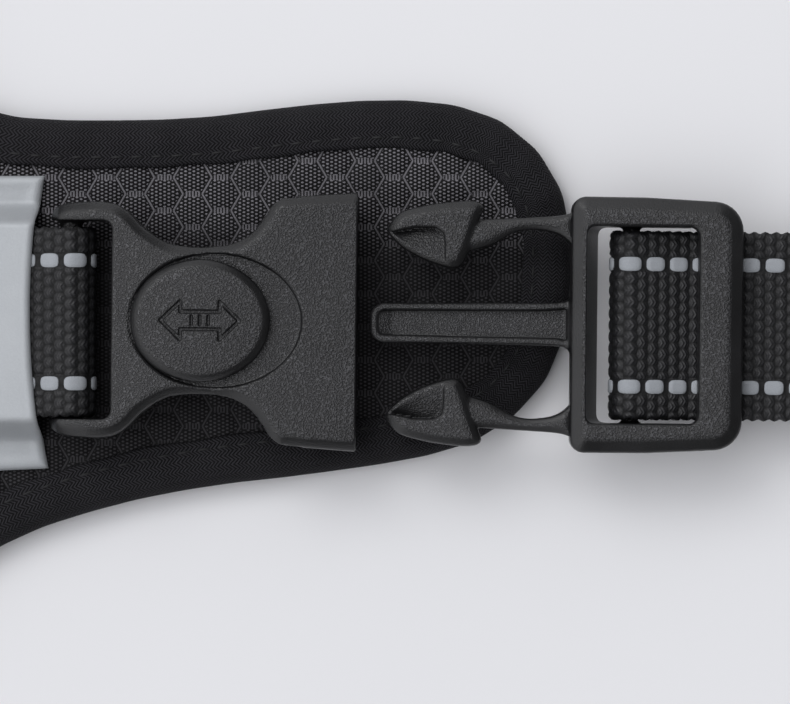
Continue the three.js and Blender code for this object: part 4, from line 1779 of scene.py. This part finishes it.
def rim_of(plate: bpy.types.Object) -> list[tuple[float, float]]:
    """The outer outline of a CAD plate, in millimetres, from the loop round its lowest face.

    Args:
        plate: The plate's CAD object.

    Returns:
        The outline, counter-clockwise.
    """
    mesh = plate.data
    places = np.array([v.co for v in mesh.vertices]) / MM
    keys = [tuple(np.round(p, 3)) for p in places]
    floor = places[:, 2].min() + 0.01
    edges: dict[tuple, tuple] = {}
    for face in mesh.polygons:
        ring = [keys[i] for i in face.vertices]
        if max(p[2] for p in ring) > floor:
            continue
        for a, b in zip(ring, [*ring[1:], ring[0]]):
            if (b, a) in edges:
                del edges[(b, a)]
            else:
                edges[(a, b)] = (a, b)
    after = dict(edges.values())
    loops = []
    while after:
        start, here = after.popitem()
        loop = [start]
        while here != start:
            loop.append(here)
            here = after.pop(here)
        loops.append(loop)
    line = [(x, y) for x, y, _ in max(loops, key=width_of)]
    area = sum(a[0] * b[1] - a[1] * b[0] for a, b in zip(line, [*line[1:], line[0]]))
    return line if area > 0.0 else line[::-1]


@dataclass
class PaddedPanel:
    """A flat padded panel: mesh lining, foam and woven face inside a bound rim.

    Args:
        name: Name of the panel; its CAD nodes start with it.
        body: Body that it rides on.
        outline: Its outer outline.
        flats: Boxes (x0, x1, y0, y1) where hardware holds the face down.
        finishes: Materials of face, lining and binding.
    """

    name: str
    body: str
    outline: list[tuple[float, float]]
    flats: Sequence[tuple[float, float, float, float]]
    face_cloth: bpy.types.Material
    lining_cloth: bpy.types.Material
    tape: bpy.types.Material
    hexes: HexJacquard
    step: float = 0.5
    weave_relief: float = 0.22
    top: float = 4.45
    split: float = 2.5
    tuck: float = 3.2
    band: float = 6.6
    puff_cell: float = 4.0
    puff_most: float = 2.2
    landing: tuple[float, float, float] = (121.0, 18.0, 0.45)

    def grid(self, step: float, margin: float = 0.0) -> tuple[Array, Array, Array]:
        """A grid over the panel and how far inside its outline each place lies.

        Args:
            step: Spacing.
            margin: How much the grid runs past the outline.

        Returns:
            Places along X, places along Y and the depth inside.
        """
        p = np.array(self.outline)
        low, high = p.min(0) - margin, p.max(0) + margin
        x = np.arange(low[0], high[0] + step, step)[:, None]
        y = np.arange(low[1], high[1] + step, step)[None, :]
        return x, y, -polygon_distance(x, y, self.outline)

    def held(self, x: Array, y: Array) -> Array:
        """How far each place is from the nearest piece that holds the face down.

        Args:
            x: Places along X.
            y: Places along Y.

        Returns:
            The distance at each place.
        """
        near = np.full(np.broadcast(x, y).shape, 99.0)
        for x0, x1, y0, y1 in self.flats:
            dx = np.maximum(np.maximum(x0 - x, x - x1), 0.0)
            dy = np.maximum(np.maximum(y0 - y, y - y1), 0.0)
            near = np.minimum(near, np.hypot(dx, dy))
        return near

    def cloth(self) -> tuple[Array, Array, Array]:
        """Lets the face fabric billow over its foam by a cloth simulation.

        Returns:
            Places along X and Y, and the height gained at each.
        """
        x, y, depth = self.grid(self.puff_cell, self.puff_cell)
        cells = depth > self.band - 2.0
        number = np.full(cells.shape, -1)
        number[cells] = np.arange(int(cells.sum()))
        quads = quads_of(number)
        quads = quads[(quads >= 0).all(1)]
        xs, ys = np.broadcast_arrays(x, y)
        verts = np.stack([xs[cells], ys[cells], np.zeros(int(cells.sum()))], 1)
        obj = link_mesh(f"{self.name}_billow", verts * MM, quads[:, ::-1])
        near = self.held(xs, ys)
        pinned = (depth[cells] < self.band + 2.5) | (near[cells] < 1.0)
        group = obj.vertex_groups.new(name="held")
        group.add([int(i) for i in np.flatnonzero(pinned)], 1.0, "REPLACE")
        modifier = obj.modifiers.new("Cloth", "CLOTH")
        settings = modifier.settings
        settings.quality = 6
        settings.mass = 0.3
        settings.tension_stiffness = settings.compression_stiffness = 40
        settings.shear_stiffness = 20
        settings.bending_stiffness = 0.6
        settings.vertex_group_mass = "held"
        settings.shrink_min = -0.012
        settings.use_pressure = True
        settings.uniform_pressure_force = 3.0
        settings.effector_weights.gravity = 0.0
        modifier.collision_settings.use_collision = False
        scene = bpy.context.scene
        for step in range(1, 25):
            scene.frame_set(step)
        shape = obj.evaluated_get(bpy.context.evaluated_depsgraph_get()).to_mesh()
        height = np.zeros(cells.shape)
        height[cells] = [v.co.z / MM for v in shape.vertices]
        scene.frame_set(1)
        bpy.data.objects.remove(obj)
        height = np.where(np.isfinite(height), height, 0.0)
        return x[:, 0], y[0], self.puff_most * np.tanh(np.abs(height) / self.puff_most)

    def puff(self, x: Array, y: Array) -> Array:
        """The billow's height over a finer grid.

        Args:
            x: Places along X.
            y: Places along Y.

        Returns:
            The height gained at each place.
        """
        xs, ys, height = self.cloth()
        fx = np.clip((x[:, 0] - xs[0]) / self.puff_cell, 0, len(xs) - 1.001)
        fy = np.clip((y[0] - ys[0]) / self.puff_cell, 0, len(ys) - 1.001)
        i, j = fx.astype(int), fy.astype(int)
        u, v = eased(fx - i)[:, None], eased(fy - j)[None, :]
        a, b = height[np.ix_(i, j)], height[np.ix_(i + 1, j)]
        c, d = height[np.ix_(i, j + 1)], height[np.ix_(i + 1, j + 1)]
        return a * (1 - u) * (1 - v) + b * u * (1 - v) + c * (1 - u) * v + d * u * v

    def slab(self, name: str, step: float, top: Callable, under: Callable) -> bpy.types.Object:
        """A closed piece between two height maps, out to the tuck under the binding.

        Args:
            name: Name of the piece.
            step: Spacing of its mesh.
            top: Upper height from x, y and the depth inside.
            under: Lower height from the same.

        Returns:
            The piece.
        """
        x, y, depth = self.grid(step)
        cell = (depth[:-1, :-1] + depth[1:, 1:] + depth[1:, :-1] + depth[:-1, 1:]) / 4 > self.tuck
        used = np.zeros(depth.shape, bool)
        for i in (0, 1):
            for j in (0, 1):
                used[i:i + cell.shape[0], j:j + cell.shape[1]] |= cell
        count = int(used.sum())
        number = np.full(used.shape, -1)
        number[used] = np.arange(count)
        xs, ys = np.broadcast_arrays(x, y)
        quads = quads_of(number).reshape(*cell.shape, 4)[cell]
        heights = [np.broadcast_to(f(x, y, depth), depth.shape)[used] for f in (top, under)]
        verts = np.concatenate([np.stack([xs[used], ys[used], z], 1) for z in heights])
        walls = []
        padded = np.pad(cell, 1)
        inner = padded[1:-1, 1:-1]
        rims = (
            (inner & ~padded[:-2, 1:-1], (0, 0), (0, 1)), (inner & ~padded[2:, 1:-1], (1, 1), (1, 0)),
            (inner & ~padded[1:-1, :-2], (1, 0), (0, 0)), (inner & ~padded[1:-1, 2:], (0, 1), (1, 1)),
        )
        for mask, a, b in rims:
            at = np.argwhere(mask)
            p = number[at[:, 0] + a[0], at[:, 1] + a[1]]
            q = number[at[:, 0] + b[0], at[:, 1] + b[1]]
            walls.append(np.stack([p, q, q + count, p + count], 1))
        faces = np.concatenate([quads[:, ::-1], quads + count, *[wall[:, ::-1] for wall in walls]])
        obj = link_mesh(name, verts * MM, faces)
        face_out(obj)
        return obj

    def sink(self, x: Array, y: Array) -> Array:
        """How far the tip is pressed down where the right male half slides in over it.

        Args:
            x: Places along X.
            y: Places along Y.

        Returns:
            The depth at each place.
        """
        from_start = np.clip((x - self.landing[0]) / 6.0, 0.0, 1.0)
        inside = np.clip((self.landing[1] - np.abs(y)) / 3.0, 0.0, 1.0)
        return self.landing[2] * from_start * inside

    def pinch(self, depth: Array) -> Array:
        """How far the layers are pressed together near the binding, from 0 to 1."""
        return np.exp(-np.maximum(depth - self.tuck, 0.0) / 2.2)

    def face_top(self, x: Array, y: Array, depth: Array) -> Array:
        """Height of the woven face.

        Args:
            x: Places along X.
            y: Places along Y.
            depth: How far inside the outline each place lies.

        Returns:
            The height at each place.
        """
        near = self.held(x, y)
        free = np.clip(near / 2.0, 0.0, 1.0)
        border = self.hexes.border(x, y)
        groove = 1.0 - np.clip(border / 0.75, 0.0, 1.0) ** 0.7
        relief = self.weave_relief * groove * (0.35 + 0.65 * free)
        sag = 0.22 * np.sin(x * 0.31 + 0.7 * np.sin(y * 0.23)) * np.sin(y * 0.27 + 1.1)
        flat = self.top - self.sink(x, y) - relief - 0.85 * self.pinch(depth)
        return flat + (self.puff(x, y) + sag) * free

    def build(self, fill: float) -> None:
        """Makes the face, the lining and the binding.

        Args:
            fill: How full the padding is, from 0 to 1; not used.
        """
        face = self.slab(f"{self.name}_padded_face", self.step, self.face_top,
                         lambda x, y, depth: self.split)
        dress(face, self.face_cloth, self.body)
        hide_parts(f"{self.name}_face", f"{self.name}_foam")
        lining = self.slab(f"{self.name}_mesh_lining", 1.0, lambda x, y, depth: self.split - 0.05,
                           lambda x, y, depth: 0.12 + 0.8 * self.pinch(depth))
        dress(lining, self.lining_cloth, self.body)
        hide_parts(f"{self.name}_lining")
        binding = self.binding(f"{self.name}_bound_edge")
        dress(binding, self.tape, self.body)
        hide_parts(f"{self.name}_binding")
        LOG.info("panel %s: %d faces", self.name, len(face.data.polygons))

    def inward(self, step: float) -> tuple[Array, Array, Array]:
        """Places along the outline, the way in at each, and the distance run.

        Args:
            step: Spacing along the outline.

        Returns:
            The places, the unit way in at each, and how far along each lies.
        """
        p = np.array([*self.outline, self.outline[0]])
        run = np.concatenate([[0.0], np.cumsum(np.hypot(*np.diff(p, axis=0).T))])
        count = int(run[-1] / step)
        at = np.arange(count) * run[-1] / count
        line = np.stack([np.interp(at, run, p[:, k]) for k in range(2)], 1)
        for _ in range(3):
            line = (np.roll(line, 1, 0) + 2 * line + np.roll(line, -1, 0)) / 4
        ahead = np.roll(line, -2, 0) - np.roll(line, 2, 0)
        ahead /= np.linalg.norm(ahead, axis=1)[:, None]
        return line, np.stack([-ahead[:, 1], ahead[:, 0]], 1), at

    def binding(self, name: str) -> bpy.types.Object:
        """Binding tape folded over the panel's edge.

        Args:
            name: Name of the piece.

        Returns:
            The piece.
        """
        profile = np.array([
            (6.6, 4.15), (6.66, 4.5), (6.5, 4.78), (6.1, 4.88), (5.2, 4.92), (4.2, 4.98), (3.2, 4.96),
            (2.4, 4.82), (1.7, 4.55), (1.1, 4.15), (0.62, 3.65), (0.3, 3.1), (0.12, 2.5), (0.12, 1.9),
            (0.3, 1.3), (0.65, 0.75), (1.2, 0.35), (1.9, 0.12), (3.0, 0.05), (4.4, 0.05), (5.8, 0.05),
            (6.4, 0.1), (6.6, 0.3), (6.5, 0.75), (4.0, 1.0), (2.2, 1.3), (1.6, 2.4), (2.2, 3.5), (4.0, 3.9),
        ])
        line, way, run = self.inward(0.8)
        across = np.concatenate([[0.0], np.cumsum(np.hypot(*np.diff(profile, axis=0).T))])
        ripple = 0.10 * np.sin(run * 2 * math.pi / 6.7 + 1.3 * np.sin(run * 0.11)) + 0.07 * np.sin(run * 0.53)
        edge = 0.10 * np.sin(run * 0.71 + np.sin(run * 0.17)) + 0.08 * np.sin(run * 0.29)
        seam = np.exp(-((profile[:, 0] - 5.2) / 0.45) ** 2) * (profile[:, 1] > 4.4)
        crown = np.clip((profile[:, 1] - 3.0) / 1.5, 0.0, 1.0)
        inset = profile[:, 0][None, :] + edge[:, None] * (profile[:, 0][None, :] > 5.0)
        z = profile[:, 1][None, :] + ripple[:, None] * (crown * (1.0 - seam))[None, :] - 0.14 * seam[None, :]
        x = line[:, 0:1] + way[:, 0:1] * inset
        y = line[:, 1:2] + way[:, 1:2] * inset
        if self.body == "saddle":
            z = z - self.sink(x, y) * crown[None, :]
        rows, columns = x.shape
        number = np.arange(rows * columns).reshape(rows, columns)
        closed = np.concatenate([number, number[:1]])
        closed = np.concatenate([closed, closed[:, :1]], 1)
        obj = link_mesh(name, np.stack([x, y, z], 2).reshape(-1, 3) * MM, quads_of(closed))
        add_tape(obj.data, np.repeat(run, columns), np.tile(across, rows))
        face_out(obj)
        return obj

    def sewn_edge(self, sewing: Stitching) -> None:
        """Sews the binding down all round, a little in from its inner edge.

        Args:
            sewing: Where the row of stitches goes.
        """
        line, way, _ = self.inward(1.5)
        places = line + way * 5.2
        ring = np.concatenate([places, places[:1]])
        sewing.row(np.column_stack([ring, 4.74 - self.sink(ring[:, 0], ring[:, 1])]))


@dataclass
class ReflectiveStrips:
    """Reflective cloth sewn over the webbing where it leaves each wing."""

    cloth: bpy.types.Material
    inner: float = 57.0
    outer: float = 79.1
    curve: float = 1.7
    half: float = 19.6
    web_half: float = 12.5
    thick: float = 0.5
    low: float = 4.95

    def height(self, x: Array, y: Array) -> Array:
        """Height of the cloth's underside: flat on the panel, raised over the webbing.

        Args:
            x: Places along X.
            y: Places along Y.

        Returns:
            The height at each place.
        """
        over = np.interp(x, [self.inner, 60.0, 68.0, 75.0, 82.0], [6.9, 8.65, 8.75, 10.4, 11.9])
        t = np.clip((self.web_half + 3.6 - np.abs(y)) / 3.4, 0.0, 1.0)
        rise = eased(t)
        dent = 0.05 * np.sin(x * 0.9 + y * 0.35) * np.sin(y * 0.31 + 0.8)
        return self.low + (over - self.low) * rise + dent * (0.3 + 0.7 * rise)

    def build(self, sewing: Stitching) -> None:
        """Makes both strips and their stitching.

        Args:
            sewing: Where the rows of stitches go.
        """
        for side, sign in ((Side.RIGHT, 1.0), (Side.LEFT, -1.0)):
            v = np.linspace(-1.0, 1.0, 110)[None, :]
            u = np.linspace(0.0, 1.0, 62)[:, None]
            outer = self.outer + self.curve * v * v - 0.25 * v
            x = self.inner + (outer - self.inner) * u
            y = v * (self.half + 1.1 * (1.0 - u) * (v < 0))
            z = self.height(x, y)
            fold = np.minimum(np.minimum(u, 1.0 - u) * 22.0, (1.0 - np.abs(v)) * self.half)
            roll = np.sqrt(np.clip(1.0 - (1.0 - np.clip(fold / 0.7, 0.0, 1.0)) ** 2, 0.0, 1.0))
            top = z + self.thick * (0.15 + 0.85 * roll) + 0.16 * np.exp(-((fold - 1.0) / 0.6) ** 2)
            number = np.arange(x.size).reshape(x.shape)
            verts = np.concatenate([
                np.stack([x * sign, y * sign, top], 2).reshape(-1, 3),
                np.stack([x * sign, y * sign, z], 2).reshape(-1, 3),
            ])
            rim = np.concatenate([number[0, :], number[1:, -1], number[-1, -2::-1], number[-2:0:-1, 0]])
            walls = np.stack([rim, np.roll(rim, -1), np.roll(rim, -1) + x.size, rim + x.size], 1)
            faces = np.concatenate([quads_of(number)[:, ::-1], quads_of(number + x.size), walls])
            obj = link_mesh(f"reflective_patch_{side.value}", verts * MM, faces)
            face_out(obj)
            dress(obj, self.cloth, "saddle")
            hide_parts(f"reflective_strip_{side.value}")
            for v_row in (-0.93, 0.93):
                xs = np.linspace(self.inner + 1.5, self.outer - 7.0, 14)
                sewing.row([(a * sign, v_row * self.half * sign, self.low + 0.75) for a in xs])
            ys = np.linspace(-self.half + 1.6, self.half - 1.6, 60)
            zs = self.height(np.full(60, self.inner + 1.6), ys) + self.thick + 0.15
            sewing.row([((self.inner + 1.6) * sign, b * sign, c) for b, c in zip(ys, zs)])


# ---- stage ------------------------------------------------------------------------------------------


@dataclass(frozen=True)
class Stage:
    """Pale floor, soft light from the upper left and a camera that looks straight down.

    Args:
        look_at: Place under the camera, in metres.
        level: Height that the camera's scale holds at, in metres.
        scale: Metres to each step of the picture at that height.
        wide: How many steps wide the picture is.
        lens: The camera's focal length.
        film: Width of its film.
        ring_light: Strength of the light near the horizon.
        zenith_light: Strength of the light straight above.
        overhead: Heights, from 0 to 1, between which the first passes into the second.
        bright_side: The way to the brighter side.
        lean: Where the darker side ends, where the brighter begins, and the strength of each.
        key_place: Place of the lamp from look_at, in metres.
        key_size: Length of the lamp's side.
        key_power: Its power in watts.
        floor_side: Half the floor's length, in metres.
    """

    look_at: tuple[float, float] = (0.1275, -0.004)
    level: float = 0.0095
    scale: float = 0.000133
    wide: int = 790
    lens: float = 200.0
    film: float = 36.0
    ring_light: float = 0.6
    zenith_light: float = 1.24
    overhead: tuple[float, float] = (0.4, 0.9)
    bright_side: tuple[float, float, float] = (-0.96, 0.28, 0.0)
    lean: tuple[float, float, float, float] = (-0.14, 0.14, 0.28, 1.76)
    key_place: tuple[float, float, float] = (-0.42, 0.62, 0.85)
    key_size: float = 0.5
    key_power: float = 3.0
    floor_side: float = 3.0

    def floor(self) -> None:
        """A plain pale floor."""
        side = self.floor_side
        verts = np.array([(-side, -side, -0.0002), (side, -side, -0.0002), (side, side, -0.0002),
                          (-side, side, -0.0002)])
        floor = link_mesh("studio_floor", verts, [(0, 1, 2, 3)], smooth=False)
        s = Sheet("pale_floor")
        grain = s.noise(s.place(), 40.0, 2.0)
        colour = s.colour(grain, (0.695, 0.695, 0.708), (0.71, 0.71, 0.723))
        floor.data.materials.append(s.finish(colour, 0.9, None, Specular_IOR_Level=0.1))

    def camera(self) -> None:
        """The camera, straight above."""
        data = bpy.data.cameras.new("overhead")
        data.lens = self.lens
        data.sensor_width = self.film
        data.clip_end = 20.0
        away = self.lens / self.film * self.wide * self.scale
        camera = bpy.data.objects.new("overhead", data)
        camera.location = (*self.look_at, self.level + away)
        bpy.context.scene.collection.objects.link(camera)
        bpy.context.scene.camera = camera

    def light(self, name: str, place: Vector, size: float, power: float) -> None:
        """A square soft light that faces the buckle.

        Args:
            name: Name of the light.
            place: Where it hangs, in metres.
            size: Length of its side.
            power: Watts.
        """
        data = bpy.data.lights.new(name, "AREA")
        data.size = size
        data.energy = power
        lamp = bpy.data.objects.new(name, data)
        lamp.location = place
        target = Vector((*self.look_at, 0.0))
        lamp.rotation_euler = (target - place).to_track_quat("-Z", "Y").to_euler()
        bpy.context.scene.collection.objects.link(lamp)

    def air(self) -> bpy.types.World:
        """Soft light from all round, brightest overhead and on the left.

        Returns:
            The world.
        """
        world = bpy.data.worlds.new("studio_air")
        world.use_nodes = True
        tree = world.node_tree
        place = tree.nodes.new("ShaderNodeTexCoord")
        parts = tree.nodes.new("ShaderNodeSeparateXYZ")
        tree.links.new(place.outputs["Generated"], parts.inputs[0])
        ramp = tree.nodes.new("ShaderNodeMapRange")
        ramp.interpolation_type = "SMOOTHSTEP"
        tree.links.new(parts.outputs[2], ramp.inputs[0])
        for value, socket in zip((*self.overhead, self.ring_light, self.zenith_light), ramp.inputs[1:5]):
            socket.default_value = value
        toward = tree.nodes.new("ShaderNodeVectorMath")
        toward.operation = "DOT_PRODUCT"
        tree.links.new(place.outputs["Generated"], toward.inputs[0])
        toward.inputs[1].default_value = self.bright_side
        lean = tree.nodes.new("ShaderNodeMapRange")
        tree.links.new(toward.outputs["Value"], lean.inputs[0])
        for value, socket in zip(self.lean, lean.inputs[1:5]):
            socket.default_value = value
        strength = tree.nodes.new("ShaderNodeMath")
        strength.operation = "MULTIPLY"
        tree.links.new(ramp.outputs[0], strength.inputs[0])
        tree.links.new(lean.outputs[0], strength.inputs[1])
        background = tree.nodes["Background"]
        background.inputs[0].default_value = (0.965, 0.97, 1.0, 1.0)
        tree.links.new(strength.outputs[0], background.inputs[1])
        return world

    def build(self) -> None:
        """Sets the stage."""
        self.camera()
        self.floor()
        x, y = self.look_at
        self.light("key", Vector((x, y, 0.0)) + Vector(self.key_place), self.key_size, self.key_power)
        scene = bpy.context.scene
        scene.world = self.air()
        scene.view_settings.view_transform = "Standard"


# ---- the vest ---------------------------------------------------------------------------------------


def main() -> None:
    """Builds the vest's looks, piece by piece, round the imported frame."""
    logging.basicConfig(level=logging.INFO, format="%(name)s: %(message)s", stream=sys.stdout)
    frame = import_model()
    Stage().build()
    plastic = MouldedPlastic().material()
    plain = PlainWeave().material()
    hexes, weave = HexJacquard(), Weave()
    buckles = Buckles(frame, plastic)
    buckles.build()
    Straps(buckles, weave, weave.material(), plain).build()
    Hardware(plastic, PlatedSteel().material(), plain).build()
    cloths = (hexes.material(), AirMesh().material(), HerringboneTape().material())
    saddle_flats = ((-125.0, 151.0, -19.0, 19.0), (-16.0, 16.0, -60.0, 38.0), (-29.0, 29.0, 148.0, 178.0))
    outlines = [rim_of(frame["nodes"][f"{name}_binding"]) for name in ("saddle", "belly_pad")]
    saddle = PaddedPanel("saddle", "saddle", outlines[0], saddle_flats, *cloths, hexes)
    saddle.build(fill=0.7)
    low, high = box_mm("belly_pad_binding")
    pad = PaddedPanel("belly_pad", "belly", outlines[1], ((low.x, high.x, -20.0, 14.0),), *cloths, hexes)
    pad.build(fill=0.7)
    sewing, pad_sewing, thread = Stitching(), Stitching(), Thread().material()
    saddle.sewn_edge(sewing)
    pad.sewn_edge(pad_sewing)
    ReflectiveStrips(ReflectiveCloth().material()).build(sewing)
    dress(sewing.build("saddle_stitching"), thread, "saddle")
    dress(pad_sewing.build("belly_pad_stitching"), thread, "belly")
    for side in Side:
        retainer = frame["nodes"][f"lock_retainer_{side.value}"]
        retainer.data.materials.clear()
        retainer.data.materials.append(plastic)


if __name__ == "__main__":
    main()
